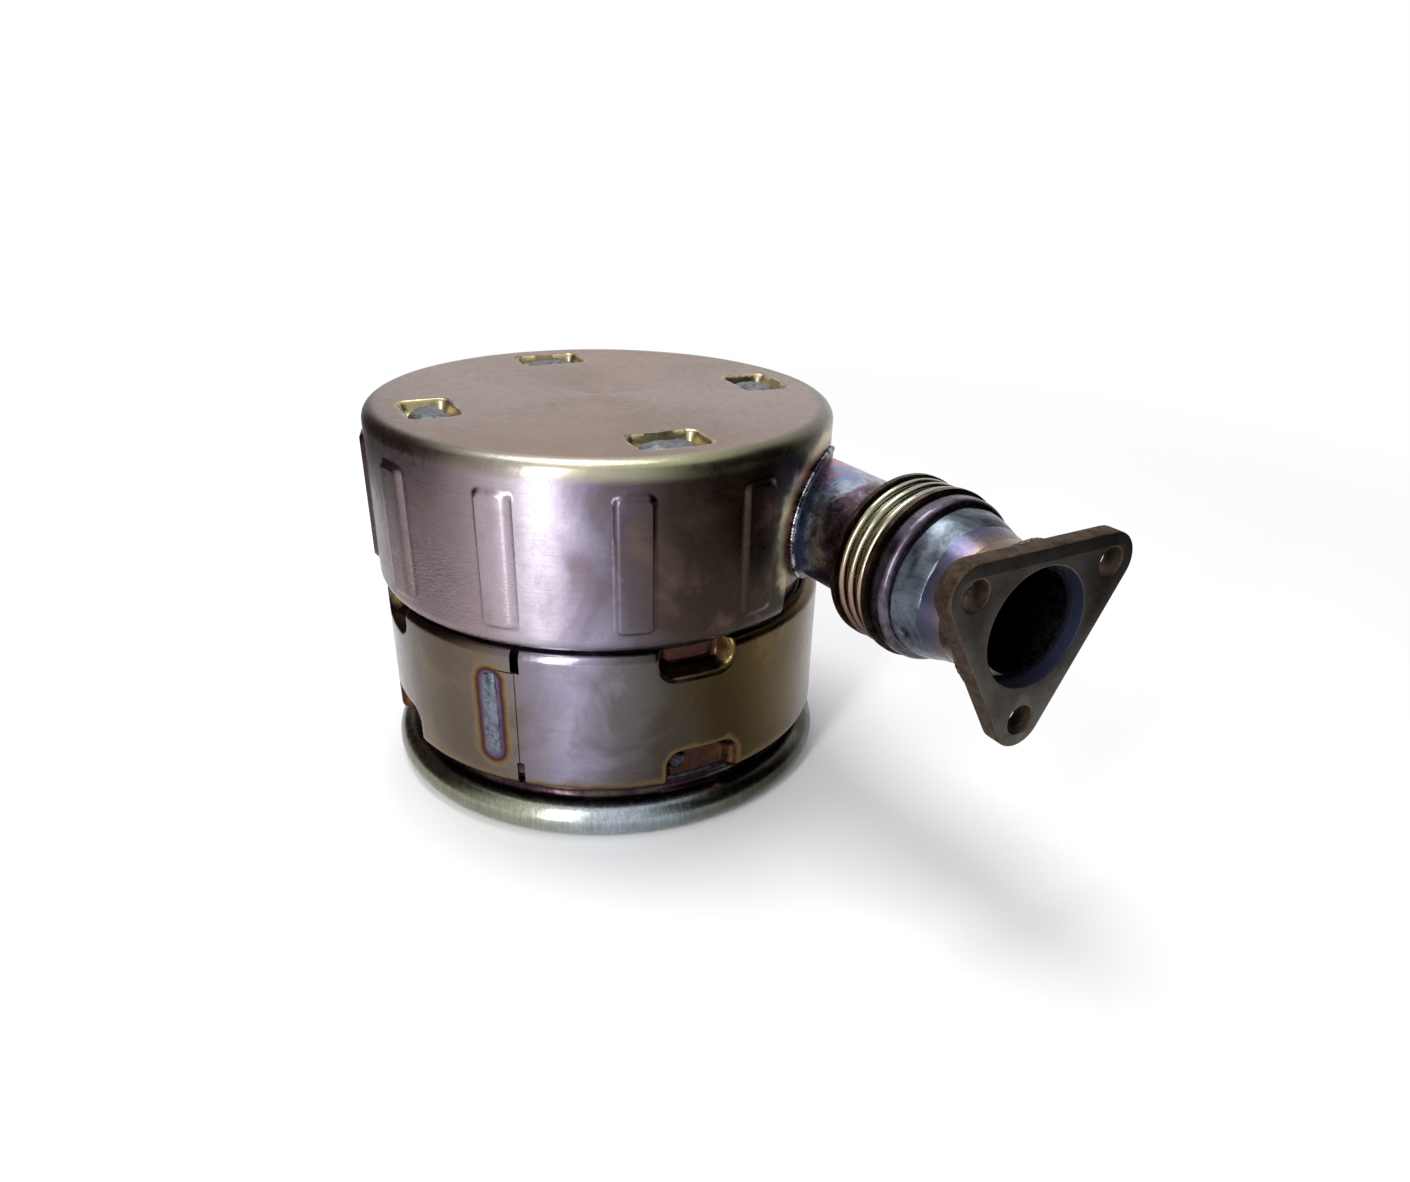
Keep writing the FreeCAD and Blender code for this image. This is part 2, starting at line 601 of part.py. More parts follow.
def seam_plug_weld():
    """Elongated plug weld closing the lap seam onto its tab."""
    part = body("seam_plug_weld")
    base = S["band_radius"] - S["shield_sheet"]
    pad(part, seam_weld_sketch(part, "WeldRoot", base), S["shield_sheet"], name="Root")
    pad(part, seam_weld_sketch(part, "WeldCrown", S["band_radius"]),
        S["seam_weld_rise"], S["crown_pocket_draft"] * 2, name="Crown")
    return part


def dimple_spot_welds():
    """Four spot welds holding the lower shield's dimples to the can."""
    part = body("dimple_spot_welds")
    base = S["can_radius"]
    floor = base + S["press_clearance"] + S["shield_sheet"] + S["spot_seat"]
    feet = sketch_on(part, "YZ_Plane", "SpotFoot", lift=base, turn=S["spot_angle"])
    circle(feet, 0, S["spot_height"], S["spot_radius"])
    root = pad(part, feet, floor - base, name="SpotRoot")
    tops = sketch_on(part, "YZ_Plane", "SpotTop", lift=floor, turn=S["spot_angle"])
    circle(tops, 0, S["spot_height"], S["spot_radius"])
    dome = pad(part, tops, S["spot_rise"], S["rib_draft"], name="SpotDome")
    polar(part, [root, dome], 4, name="Spots")
    return part


# ------------------------------------------------------ can and catalyst

def ring(label, inner, outer, low, high):
    """Plain turned ring or disc standing on the drum axis."""
    part = body(label)
    profile = sketch_on(part, "XZ_Plane", "Profile")
    outline(profile, [(inner, low), (outer, low), (outer, high), (inner, high)])
    revolve(part, profile)
    return part


def inner_inlet_shell():
    """Shell wall over the brick, necked in to slip over the can."""
    part = body("inner_inlet_shell")
    wall, r_out = S["shell_wall"], S["shell_radius"]
    top = S["shell_top"] - wall
    neck_in = S["can_radius"] + S["slip_gap"]
    neck_out = neck_in + wall
    high, low = S["shell_shoulder"], S["can_top"]
    profile = sketch_on(part, "XZ_Plane", "ShellProfile")
    outline(profile, [
        (r_out - wall, high), (neck_in, low), (neck_in, S["shell_bottom"]),
        (neck_out, S["shell_bottom"]), (neck_out, low), (r_out, high),
        (r_out, top), (r_out - wall, top)])
    revolve(part, profile, name="Shell")
    port = sketch_on(part, "YZ_Plane", "Port")
    circle(port, S["pipe_offset"], S["pipe_height"], S["stub_radius"] - S["pipe_wall"])
    cut(part, port, r_out * 1.1, up=True, name="PortHole")
    return part


def shell_end_cap():
    """Pressed end cap slipped over the top of the shell wall."""
    part = body("shell_end_cap")
    wall, top, bend = S["shell_wall"], S["shell_top"], S["cap_bend"]
    inner = S["shell_radius"] + S["slip_gap"]
    outer = inner + wall
    low = top - S["cap_skirt"]
    profile = sketch_on(part, "XZ_Plane", "CapProfile")
    outline(profile, [
        (0, top - wall), (inner, top - wall), (inner, low), (outer, low),
        (outer, top - bend), (outer - bend, top), (0, top)], {4: (bend, 1)})
    revolve(part, profile, name="Cap")
    return part


def outlet_flange():
    """Round-edged bead flange with a collar over the can."""
    part = body("outlet_flange")
    r_out, half = S["bead_radius"], S["bead_half"]
    inner, root = S["can_radius"], S["root_radius"]
    bend = S["root_bend"]
    profile = sketch_on(part, "XZ_Plane", "FlangeProfile")
    outline(profile, [
        (S["outlet_bore_radius"], 0), (r_out - half, 0), (r_out, half),
        (r_out - half, half * 2), (root + bend, half * 2), (root, half * 2 + bend),
        (root, S["root_top"]), (inner, S["root_top"]), (inner, S["can_bottom"]),
        (S["outlet_bore_radius"], S["can_bottom"]),
    ], {1: (half, 1), 2: (half, 1), 4: (bend, -1)})
    revolve(part, profile, name="Flange")
    return part


def fillet_ring(label, radius, height, leg, up):
    """Triangular weld bead round a drum; up is 1 above the edge, -1 below."""
    part = body(label)
    profile = sketch_on(part, "XZ_Plane", "BeadProfile")
    outline(profile, [(radius, height), (radius + leg, height),
                      (radius, height + leg * up)])
    revolve(part, profile, name="Bead")
    return part


def mat_seal_rings():
    """Knitted seals closing the mat at both ends."""
    part = body("mat_seal_rings")
    low = S["substrate_bottom"] + S["mat_end_gap"]
    high = S["substrate_bottom"] + S["substrate_length"] - S["mat_end_gap"]
    inner, outer = S["substrate_radius"], S["can_radius"] - S["can_wall"]
    tall = S["seal_height"]
    profile = sketch_on(part, "XZ_Plane", "SealProfile")
    for start, tag in ((low - tall, "a"), (high, "b")):
        outline(profile, [(inner, start), (outer, start), (outer, start + tall),
                          (inner, start + tall)], tag=tag)
    revolve(part, profile, name="Seals")
    return part


# ------------------------------------------------------ inlet branch

def pipe_body(label):
    """Body whose own X axis is the inlet pipe's axis."""
    return body(label, (0, S["pipe_offset"], S["pipe_height"]))


def behind(distance):
    """Place along the pipe, measured back from the flange face."""
    return S["face_distance"] - distance


def turned_pipe(label, points, bends=None):
    part = pipe_body(label)
    profile = sketch_on(part, "XZ_Plane", "PipeProfile")
    outline(profile, points, bends)
    revolve(part, profile, axis="H_Axis", name="Turned")
    return part


def drum_cut(part, radius, inside, name):
    """Trim a pipe part with the drum's cylinder, keeping one side of it."""
    trim = sketch_on(part, "XY_Plane", name + "Outline", lift=-S["stub_radius"] * 2)
    circle(trim, 0, -S["pipe_offset"], radius)
    if inside:
        reach = S["face_distance"] * 2
        outline(trim, [(-reach, -reach), (reach, -reach), (reach, reach),
                       (-reach, reach)])
    cut(part, trim, S["stub_radius"] * 4, up=True, name=name)


def inlet_stub():
    """Stub tube, coped to sit on the shell's side."""
    part = pipe_body("inlet_stub")
    end = S["front_collar_back"] + S["bellows_length"]
    wide, wall = S["stub_radius"], S["pipe_wall"]
    profile = sketch_on(part, "XZ_Plane", "PipeProfile")
    outline(profile, [(10, wide - wall), (behind(end), wide - wall),
                      (behind(end), wide), (10, wide)])
    revolve(part, profile, axis="H_Axis", name="Tube")
    drum_cut(part, S["shell_radius"], False, "Cope")
    return part


def saddle_weld(label, drum, leg, outer, low):
    """Weld bead round the stub where it meets a drum of the given radius."""
    part = pipe_body(label)
    profile = sketch_on(part, "XZ_Plane", "BeadProfile")
    reach = drum * 1.15
    outline(profile, [(5, S["stub_radius"]), (reach, S["stub_radius"]),
                      (reach, outer), (5, outer)])
    revolve(part, profile, axis="H_Axis", name="Bead")
    drum_cut(part, drum, False, "Inside")
    drum_cut(part, drum + leg, True, "Outside")
    if low is not None:
        mouth = sketch_on(part, "YZ_Plane", "Mouth")
        wide = outer * 1.5
        outline(mouth, [(-wide, -wide), (wide, -wide), (wide, low), (-wide, low)])
        cut(part, mouth, reach * 1.2, up=True, name="OpenMouth")
    return part


def rear_collar():
    """Bellows collar with a sleeve on the stub."""
    near = behind(S["front_collar_back"] + S["bellows_length"])
    far = near - S["collar_thickness"]
    tail = far - S["collar_sleeve"]
    bore = S["stub_radius"]
    skirt = bore + S["collar_sleeve_wall"]
    return turned_pipe("rear_collar", [
        (tail, bore), (near, bore), (near, S["collar_radius"]),
        (far, S["collar_radius"]), (far, skirt), (tail, skirt)])


def front_collar():
    """Bellows collar on the flange side."""
    back = behind(S["front_collar_back"])
    front = back + S["collar_thickness"]
    bore = S["stub_radius"]
    return turned_pipe("front_collar", [
        (back, bore), (front, bore), (front, S["collar_radius"]),
        (back, S["collar_radius"])])


def bellows():
    """Three round convolutions between the collars, flats on their inner side."""
    count = 3
    wall, crest, root = S["bellows_wall"], S["bellows_crest"], S["bellows_root"]
    pitch = S["bellows_length"] / count
    bow = pitch / 4 + wall / 2
    tuck = pitch / 4 - wall / 2
    slant = sine(Size.of(45))
    start = behind(S["front_collar_back"] + S["bellows_length"])
    outer, inner, bends = [], [], {}
    for k in range(count):
        x = start + pitch * k
        mid = x + pitch / 2
        end = x + pitch
        base = len(outer)
        outer += [(x, root), (x + tuck, root + tuck), (mid - bow, crest - bow),
                  (mid, crest), (mid + bow, crest - bow), (end - tuck, root + tuck)]
        bends.update({base: (tuck, 1), base + 2: (bow, -1),
                      base + 3: (bow, -1), base + 5: (tuck, 1)})
        low, high = root - wall, crest - wall
        rise = low + bow * (1 - slant)
        inner += [(x, low), (x + bow * slant, rise), (x + bow, low + bow),
                  (mid - tuck, high - tuck), (mid, high), (mid + tuck, high - tuck),
                  (end - bow, low + bow), (end - bow * slant, rise)]
    end = start + S["bellows_length"]
    outer.append((end, root))
    inner.append((end, root - wall))
    return turned_pipe("bellows", outer + inner[::-1], bends)


def shoulder_ring():
    """Rounded ring joining the neck to the front collar."""
    back = behind(S["front_collar_back"] - S["collar_thickness"])
    front = behind(S["neck_end"])
    wide, bend = S["shoulder_radius"], S["shoulder_bend"]
    bore = S["neck_end_radius"]
    wall = S["shoulder_wall"]
    return turned_pipe("shoulder_ring", [
        (back, wide - bend - wall), (front - wall, wide - bend - wall), (front - wall, bore),
        (front, bore), (front, wide - bend), (front - bend, wide), (back + bend, wide),
        (back, wide - bend)],
        {4: (bend, 1), 6: (bend, 1)})


def inlet_neck():
    """Neck tube, straight behind the flange and flared to the shoulder."""
    near = behind(S["flange_thickness"])
    knee = near - S["neck_straight"]
    wide_end = behind(S["neck_end"]) - S["shoulder_wall"]
    thin, wide = S["stub_radius"], S["neck_end_radius"]
    wall = S["pipe_wall"]
    return turned_pipe("inlet_neck", [
        (wide_end, wide - wall), (knee, thin - wall), (near, thin - wall),
        (near, thin), (knee, thin), (wide_end + S["shoulder_wall"], wide),
        (wide_end, wide)])


def neck_weld():
    """Broad weld laid over the neck's flare."""
    near = behind(S["flange_thickness"])
    knee = near - S["neck_straight"]
    wide_end = behind(S["neck_end"])
    start = behind(S["neck_weld_start"])
    rise = S["neck_weld_rise"]
    slope = (S["neck_end_radius"] - S["stub_radius"]) / (knee - wide_end)
    at_start = S["stub_radius"] + slope * (knee - start)
    return turned_pipe("neck_weld", [
        (wide_end, S["neck_end_radius"]), (start, at_start),
        (start - rise * 2, at_start + slope * rise * 2 + rise),
        (wide_end + rise, S["neck_end_radius"] + rise),
        (wide_end, S["neck_end_radius"] + rise * 0.6)])


def flange_weld():
    """Fillet weld between the neck and the back of the flange."""
    near = behind(S["flange_thickness"])
    leg = S["flange_weld_leg"]
    bore = S["stub_radius"]
    return turned_pipe("flange_weld", [
        (near - leg, bore), (near, bore), (near, bore + leg)])


def flow_sleeve():
    """Thin tube carrying the gas through the bellows."""
    front = behind(S["sleeve_recess"])
    back = front - S["sleeve_length"]
    wide = S["sleeve_radius"]
    return turned_pipe("flow_sleeve", [
        (back, wide - S["sleeve_wall"]), (front, wide - S["sleeve_wall"]),
        (front, wide), (back, wide)])


def inlet_flange():
    """Three-cornered plate flange with three clearance holes."""
    part = pipe_body("inlet_flange")
    plate = sketch_on(part, "YZ_Plane", "PlateOutline", lift=behind(S["flange_thickness"]))
    c, r = S["bolt_circle_radius"], S["flange_corner"]
    points, bends = [], {}
    for k, angle in enumerate((-90, 30, 150)):
        a = Size.of(angle)
        for step in (-60, 0, 60):
            points.append((c * cosine(a) + r * cosine(a + step),
                           c * sine(a) + r * sine(a + step)))
        bends[k * 3] = (r, 1)
        bends[k * 3 + 1] = (r, 1)
    outline(plate, points, bends)
    circle(plate, 0, 0, S["sleeve_radius"], tag="bore")
    pad(part, plate, S["flange_thickness"], name="Plate")
    bore = sketch_on(part, "YZ_Plane", "BoreOutline", lift=S["face_distance"])
    circle(bore, 0, 0, S["flange_bore_radius"])
    cut(part, bore, S["sleeve_recess"], name="Bore")
    holes = sketch_on(part, "YZ_Plane", "BoltHoles", lift=S["face_distance"])
    for k, angle in enumerate((-90, 30, 150)):
        a = Size.of(angle)
        circle(holes, c * cosine(a), c * sine(a), S["bolt_hole_radius"], tag="h%d" % k)
    cut(part, holes, S["flange_thickness"] * 1.5, name="BoltHolePockets")
    return part


def build():
    can_in = S["can_radius"] - S["can_wall"]
    brick_low = S["substrate_bottom"]
    brick_top = brick_low + S["substrate_length"]
    gap = S["mat_end_gap"]
    stub_reach = S["stub_radius"] + S["slot_clearance"]
    shield_in = S["shield_radius"] - S["shield_sheet"]
    return [
        upper_heat_shield(),
        top_plug_welds(),
        lower_heat_shield(),
        seam_plug_weld(),
        dimple_spot_welds(),
        inner_inlet_shell(),
        shell_end_cap(),
        fillet_ring("cap_weld", S["shell_radius"], S["shell_top"] - S["cap_skirt"],
                    S["cap_weld_leg"], -1),
        ring("catalyst_can", can_in, S["can_radius"], S["can_bottom"], S["can_top"]),
        ring("catalyst_substrate", Size.of(0), S["substrate_radius"], brick_low, brick_top),
        ring("support_mat", S["substrate_radius"], can_in, brick_low + gap, brick_top - gap),
        mat_seal_rings(),
        outlet_flange(),
        fillet_ring("outlet_weld", S["can_radius"], S["root_top"], S["outlet_weld_leg"], 1),
        fillet_ring("shell_weld", S["can_radius"], S["shell_bottom"],
                    S["shell_weld_leg"], -1),
        inlet_stub(),
        saddle_weld("stub_shell_weld", S["shell_radius"], S["stub_weld_leg"],
                    S["stub_radius"] + S["stub_weld_leg"], None),
        saddle_weld("stub_shield_weld", shield_in, S["shield_sheet"] + S["stub_weld_rise"],
                    stub_reach, -S["stub_radius"] * 0.6),
        rear_collar(),
        bellows(),
        front_collar(),
        shoulder_ring(),
        inlet_neck(),
        neck_weld(),
        flange_weld(),
        flow_sleeve(),
        inlet_flange(),
    ]


def check(parts):
    DOC.recompute()
    problems = []
    for item in DOC.Objects:
        if "Invalid" in item.State or "Error" in item.State:
            problems.append("%s is %s" % (item.Label, item.State))
    for part in parts:
        if part.Shape.isNull() or not part.Shape.isValid() or not part.Shape.Solids:
            problems.append("%s has no valid shape" % part.Label)
    if problems:
        raise RuntimeError("; ".join(problems))


def export(parts):
    os.makedirs("parts", exist_ok=True)
    for part in parts:
        part.Shape.exportStep("parts/%s.step" % part.Label)


PARTS = build()
check(PARTS)
export(PARTS)
for made in PARTS:
    print(made.Label, len(made.Shape.Solids), round(made.Shape.Volume, 1))
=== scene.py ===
"""Catalytic converter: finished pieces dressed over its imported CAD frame."""
import contextlib
import json
import math

import bmesh
import bpy
import numpy as np
from mathutils import Matrix, Vector, noise


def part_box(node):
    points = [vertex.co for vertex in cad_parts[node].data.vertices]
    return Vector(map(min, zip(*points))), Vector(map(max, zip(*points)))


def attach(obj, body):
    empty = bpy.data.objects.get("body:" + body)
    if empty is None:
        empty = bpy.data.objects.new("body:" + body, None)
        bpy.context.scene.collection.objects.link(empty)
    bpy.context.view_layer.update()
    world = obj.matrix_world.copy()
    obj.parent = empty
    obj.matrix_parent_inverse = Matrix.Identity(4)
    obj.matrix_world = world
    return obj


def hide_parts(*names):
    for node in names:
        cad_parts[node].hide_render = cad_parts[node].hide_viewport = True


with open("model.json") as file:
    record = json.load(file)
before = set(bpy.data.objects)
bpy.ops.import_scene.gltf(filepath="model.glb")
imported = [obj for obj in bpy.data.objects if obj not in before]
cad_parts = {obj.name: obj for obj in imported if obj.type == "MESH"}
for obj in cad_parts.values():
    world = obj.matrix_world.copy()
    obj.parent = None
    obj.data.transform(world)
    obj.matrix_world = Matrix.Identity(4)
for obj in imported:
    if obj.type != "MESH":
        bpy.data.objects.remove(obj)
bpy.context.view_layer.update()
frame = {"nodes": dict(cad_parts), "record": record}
BODY = "root"

bl_info = {
    "name": "Catalytic converter",
    "version": (1, 0, 0),
    "blender": (4, 5, 0),
    "location": "3D View > Sidebar > Converter",
    "description": "Builds a shielded catalytic converter with a bellows inlet",
    "category": "Mesh",
}

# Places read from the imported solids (metres).
SHIELD_LOW, SHIELD_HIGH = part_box("upper_heat_shield")
BAND_LOW, BAND_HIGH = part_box("lower_heat_shield")
STUB_LOW, STUB_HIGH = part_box("inlet_stub")
PIPE_Y = (STUB_LOW.y + STUB_HIGH.y) / 2
PIPE_Z = (STUB_LOW.z + STUB_HIGH.z) / 2
FACE_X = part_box("inlet_flange")[1].x
BAND_RADIUS = BAND_HIGH.y
SHIELD_RADIUS = BAND_RADIUS + 0.0016
SHIELD_TOP = SHIELD_HIGH.z
SKIRT_LOW = SHIELD_LOW.z

# Sizes that more than one piece reads, or that need a name (metres).
PRESS_EDGE = 0.004      # corner radius of the top pockets
PLUG_ROOT = 0.0013      # the plug welds' base above their solid's underside
SPOT_LEAD = math.radians(5.5)   # how far the spot welds sit from a dimple's middle
SEAM_WELD_HALF = (0.0038, 0.0195)   # half width and half height of the seam weld
NECK_THIN = 0.0258      # radius of the neck weld's thin end
BORE_EDGE = 0.0231      # just outside the machined bore
QUARTER = math.pi / 2

# Stage: the camera's place and turn, and the frame's shift
CAMERA_SHIFT = (-0.00781, 0.06925)
CAMERA_PLACE = (
    (0.517274, -0.425362, 0.742627, 0.419195),
    (0.855372, 0.228904, -0.464695, -0.199559),
    (0.027674, 0.875597, 0.482249, 0.274209),
    (0.000000, 0.000000, 0.000000, 1.000000),
)
CAMERA_TURN = math.radians(-25.46)


# ------------------------------------------------------------- settings

def length(name, text, value):
    return bpy.props.FloatProperty(name=name, description=text, default=value,
                                   unit="LENGTH", precision=4)


def turn(name, text, degrees):
    return bpy.props.FloatProperty(name=name, description=text,
                                   default=math.radians(degrees), subtype="ANGLE")


def tint(name, text, value):
    return bpy.props.StringProperty(name=name, description=text + " (sRGB hex)",
                                    default=value)


class ShieldSettings(bpy.types.PropertyGroup):
    sheet: length("Sheet", "Thickness of the shield's sheet", 0.0012)
    crown: length("Crown bend", "Bend radius between top and side", 0.006)
    curl: length("Skirt curl", "Bend radius of the turned-in skirt", 0.007)
    curl_turn: turn("Curl angle", "Angle the skirt is turned in", 57)
    rib_width: length("Rib width", "Width of a side rib", 0.0156)
    rib_rise: length("Rib rise", "How far a rib stands out", 0.0018)
    rib_low: length("Rib foot", "Height of the ribs' lower ends", 0.096)
    rib_high: length("Rib head", "Height of the ribs' upper ends", 0.1511)
    rib_corner: length("Rib corner", "Corner radius of a rib", 0.003)
    rib_first: turn("First rib", "Angle of the first rib", 100.7)
    rib_count: bpy.props.IntProperty(name="Ribs", description="Number of side ribs",
                                     default=10, min=1, max=12)
    pocket_length: length("Pocket length", "Top pocket, round the drum", 0.030)
    pocket_width: length("Pocket width", "Top pocket, along the radius", 0.021)
    pocket_radius: length("Pocket place", "Drum axis to the pockets' centres", 0.074)
    pocket_depth: length("Pocket depth", "Depth of the top pockets", 0.0052)
    pocket_first: turn("First pocket", "Angle of the first top pocket", -6)
    slot_half: length("Inlet opening", "Half width of the inlet opening", 0.028)
    top_steel: tint("Top steel", "Taupe steel of the top", "#80675b")


class BandSettings(bpy.types.PropertyGroup):
    sheet: length("Sheet", "Thickness of the band's sheet", 0.0012)
    lip: length("Lip bend", "Bend radius of the rolled lips", 0.0045)
    lip_flat: length("Lip flat", "Flat beyond each rolled lip", 0.0016)
    press_width: length("Press width", "Width of notches and dimples", 0.033)
    press_corner: length("Press corner", "Corner radius of the pressings", 0.007)
    press_floor: length("Press floor", "Drum axis to the pressings' floor", 0.0893)
    notch_depth: length("Notch depth", "Notch, down from the top lip", 0.013)
    notch_first: turn("First notch", "Angle of the first notch", -4)
    dimple_depth: length("Dimple height", "Dimple, up from the bottom lip", 0.0165)
    dimple_first: turn("First dimple", "Angle of the first dimple", -2)
    seam: turn("Seam", "Angle of the lap seam", -47.4)
    weld_angle: turn("Seam weld", "Angle of the elongated plug weld", -54.5)


class InletSettings(bpy.types.PropertyGroup):
    plate: length("Plate", "Thickness of the inlet flange", 0.008)
    bolt_circle: length("Bolt circle", "Radius of the bolt circle", 0.0361)
    hole: length("Bolt hole", "Radius of a bolt hole", 0.0055)
    corner: length("Corner", "Corner radius of the flange", 0.011)
    bore: length("Bore", "Radius of the machined bore", 0.0222)
    bore_depth: length("Bore depth", "Depth of the machined bore", 0.0055)
    pipe: length("Pipe", "Outside radius of stub and neck", 0.0243)


class ConverterStage(bpy.types.PropertyGroup):
    floor_colour: tint("Floor colour", "Colour of the floor", "#f2f2f4")
    focal: bpy.props.FloatProperty(name="Focal length", description="Camera focal length",
                                   default=27.13, min=10, max=200, unit="CAMERA")


# ------------------------------------------------------------- node helper

def colour(text):
    """Linear RGBA from an sRGB hex value such as #8d7469."""
    parts = [int(text[i:i + 2], 16) / 255 for i in (1, 3, 5)]
    return tuple(c / 12.92 if c <= 0.04045 else ((c + 0.055) / 1.055) ** 2.4
                 for c in parts) + (1.0,)


def add(tree, kind, given=None, ramp=None, **settings):
    """Add a node with its settings, inputs and ramp stops.

    An input is given a value, a socket to link, or a node to link by its first
    live output.
    """
    made = tree.nodes.new(kind)
    for name, value in settings.items():
        setattr(made, name, value)
    for name, value in (given or {}).items():
        if isinstance(value, bpy.types.Node):
            value = next(socket for socket in value.outputs if socket.enabled)
        if isinstance(value, bpy.types.NodeSocket):
            tree.links.new(value, made.inputs[name])
        else:
            made.inputs[name].default_value = value
    if ramp:
        band = made.color_ramp.elements
        while len(band) < len(ramp):
            band.new(1.0)
        for item, (place, value) in zip(band, ramp):
            item.position, item.color = place, colour(value)
    return made


# ------------------------------------------------------------- mesh helpers

def smooth(low, high, value):
    """0 at low to 1 at high, easing in and out."""
    t = np.clip((value - low) / (high - low), 0, 1)
    return t * t * (3 - 2 * t)


def box_distance(x, y, half_x, half_y, corner):
    """Distance to a round-cornered rectangle's edge, negative inside."""
    qx = np.abs(x) - half_x + corner
    qy = np.abs(y) - half_y + corner
    outside = np.hypot(np.maximum(qx, 0), np.maximum(qy, 0))
    return outside + np.minimum(np.maximum(qx, qy), 0) - corner


def wrapped(angle):
    return (angle + np.pi) % (2 * np.pi) - np.pi


def spread(low, high, step):
    """Even levels from low towards high, about step apart, without high itself."""
    count = max(1, int(round(abs(high - low) / step)))
    return list(np.linspace(low, high, count, endpoint=False))


def angles_round(fine, fine_step, coarse_step):
    """Column angles, close together inside the (low, high) ranges in fine."""
    places = []
    here = -math.pi
    while here < math.pi - 1e-9:
        places.append(here)
        near = any(low <= here + shift <= high for low, high in fine
                   for shift in (-2 * math.pi, 0, 2 * math.pi))
        here += fine_step if near else coarse_step
    return np.array(places)


def grid_mesh(name, points, pole=False):
    """Closed-round mesh from rows by columns of points; pole joins the first row."""
    rows, cols = points.shape[:2]
    vertices = points.reshape(-1, 3).tolist()
    faces = []
    for r in range(1 if pole else 0, rows - 1):
        for c in range(cols):
            n = (c + 1) % cols
            here, below = r * cols, (r + 1) * cols
            faces.append((here + c, below + c, below + n, here + n))
    if pole:
        vertices.append(points[0].mean(0).tolist())
        last = len(vertices) - 1
        faces += [(last, cols + c, cols + (c + 1) % cols) for c in range(cols)]
        keep = set(range(cols))
        names = [i for i in range(len(vertices)) if i not in keep]
        back = {old: new for new, old in enumerate(names)}
        vertices = [vertices[i] for i in names]
        faces = [tuple(back[i] for i in f) for f in faces]
    made = bpy.data.meshes.new(name)
    made.from_pydata(vertices, [], faces)
    made.update()
    return made


def new_piece(name, data):
    """New object in the scene from its mesh, curve, lamp or camera."""
    made = bpy.data.objects.new(name, data)
    bpy.context.scene.collection.objects.link(made)
    return made


def settle(piece):
    """Turn a piece's modifiers into plain mesh."""
    graph = bpy.context.evaluated_depsgraph_get()
    done = bpy.data.meshes.new_from_object(piece.evaluated_get(graph))
    piece.modifiers.clear()
    if piece.type == "MESH":
        old = piece.data
        piece.data = done
        bpy.data.meshes.remove(old)
        return piece
    made = new_piece(piece.name + "_mesh", done)
    name = piece.name
    bpy.data.objects.remove(piece)
    made.name = name
    return made


def dress(piece, slot_name, material, *nodes):
    """Give a finished piece its material, its ride and the nodes it stands for."""
    piece.data.materials.clear()
    piece.data.materials.append(material)
    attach(piece, BODY)
    if nodes:
        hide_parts(*nodes)


def give_heat(mesh, heat):
    """Store how far welding heat has tinted the steel, 0 to 1, at each vertex; in the band's
    pressings it also holds painted shade.
    """
    layer = mesh.attributes.new("weld_tint", "FLOAT", "POINT")
    layer.data.foreach_set("value", np.clip(heat, 0, 1).astype(np.float32))


def vertex_array(mesh):
    flat = np.zeros(len(mesh.vertices) * 3)
    mesh.vertices.foreach_get("co", flat)
    return flat.reshape(-1, 3)


def ripple(points, size, seed):
    """Soft noise, -1 to 1, at each point; size is its wavelength in metres."""
    step = 1.0 / size
    return np.array([noise.noise(Vector((p[0] * step + seed, p[1] * step, p[2] * step)))
                     for p in points])


def round_points(r, u, z):
    """Grid of points at radius r and height z, turned round the drum by u."""
    return np.stack([r * np.cos(u), r * np.sin(u), z + 0 * u], axis=2)


def sheet_dips(grid, long_wave, short_wave):
    """How far a drawn sheet dips at each point of a grid; it never stands proud.

    A wave is its wavelength, its noise seed and its depth.
    """
    waves = sum(ripple(grid.reshape(-1, 3), size, seed).reshape(grid.shape[:2]) * deep
                for size, seed, deep in (long_wave, short_wave))
    return np.minimum(waves - long_wave[2], 0)


def bend(centre_r, centre_z, radius, start, end, count):
    """Section points round a bend, each with its outward direction."""
    return [(centre_r + radius * math.cos(a), centre_z + radius * math.sin(a),
             math.cos(a), math.sin(a)) for a in np.linspace(start, end, count)]


def glow_near(distance, fade):
    """Heat that dies away over the given distance from an edge."""
    return np.exp(-np.maximum(distance, 0) / fade)


@contextlib.contextmanager
def opened(mesh, outward=True):
    """Open a mesh for editing and write it back, its faces turned outward."""
    work = bmesh.new()
    work.from_mesh(mesh)
    yield work
    if outward:
        bmesh.ops.recalc_face_normals(work, faces=work.faces)
    work.to_mesh(mesh)
    work.free()


def sharpen(mesh, degrees):
    mesh.shade_smooth()
    mesh.set_sharp_from_angle(angle=math.radians(degrees))


# ------------------------------------------------------------- materials

# Welding heat on steel, from its cool edge inward: straw, brown, violet, blue, grey scale.
BAND_HEAT = [(0.0, "#5e5240"), (0.22, "#7c6c48"), (0.36, "#65482c"), (0.48, "#3a261c"),
             (0.6, "#4a3038"), (0.74, "#4a4266"), (0.88, "#6a5654"), (1.0, "#3c383a")]
SHEET_HEAT = [(0.0, "#a89c7c"), (0.24, "#ddd6a6"), (0.36, "#a08a5c"), (0.48, "#6e4426"),
              (0.6, "#5c3a44"), (0.74, "#4f4a72"), (0.88, "#55596c"), (1.0, "#4a4a50")]


def begin(name):
    made = bpy.data.materials.new(name)
    made.use_nodes = True
    made.node_tree.nodes.clear()
    return made, made.node_tree


def surface(tree, given):
    """End a material with its one shader."""
    shader = add(tree, "ShaderNodeBsdfPrincipled", given)
    add(tree, "ShaderNodeOutputMaterial", {"Surface": shader})


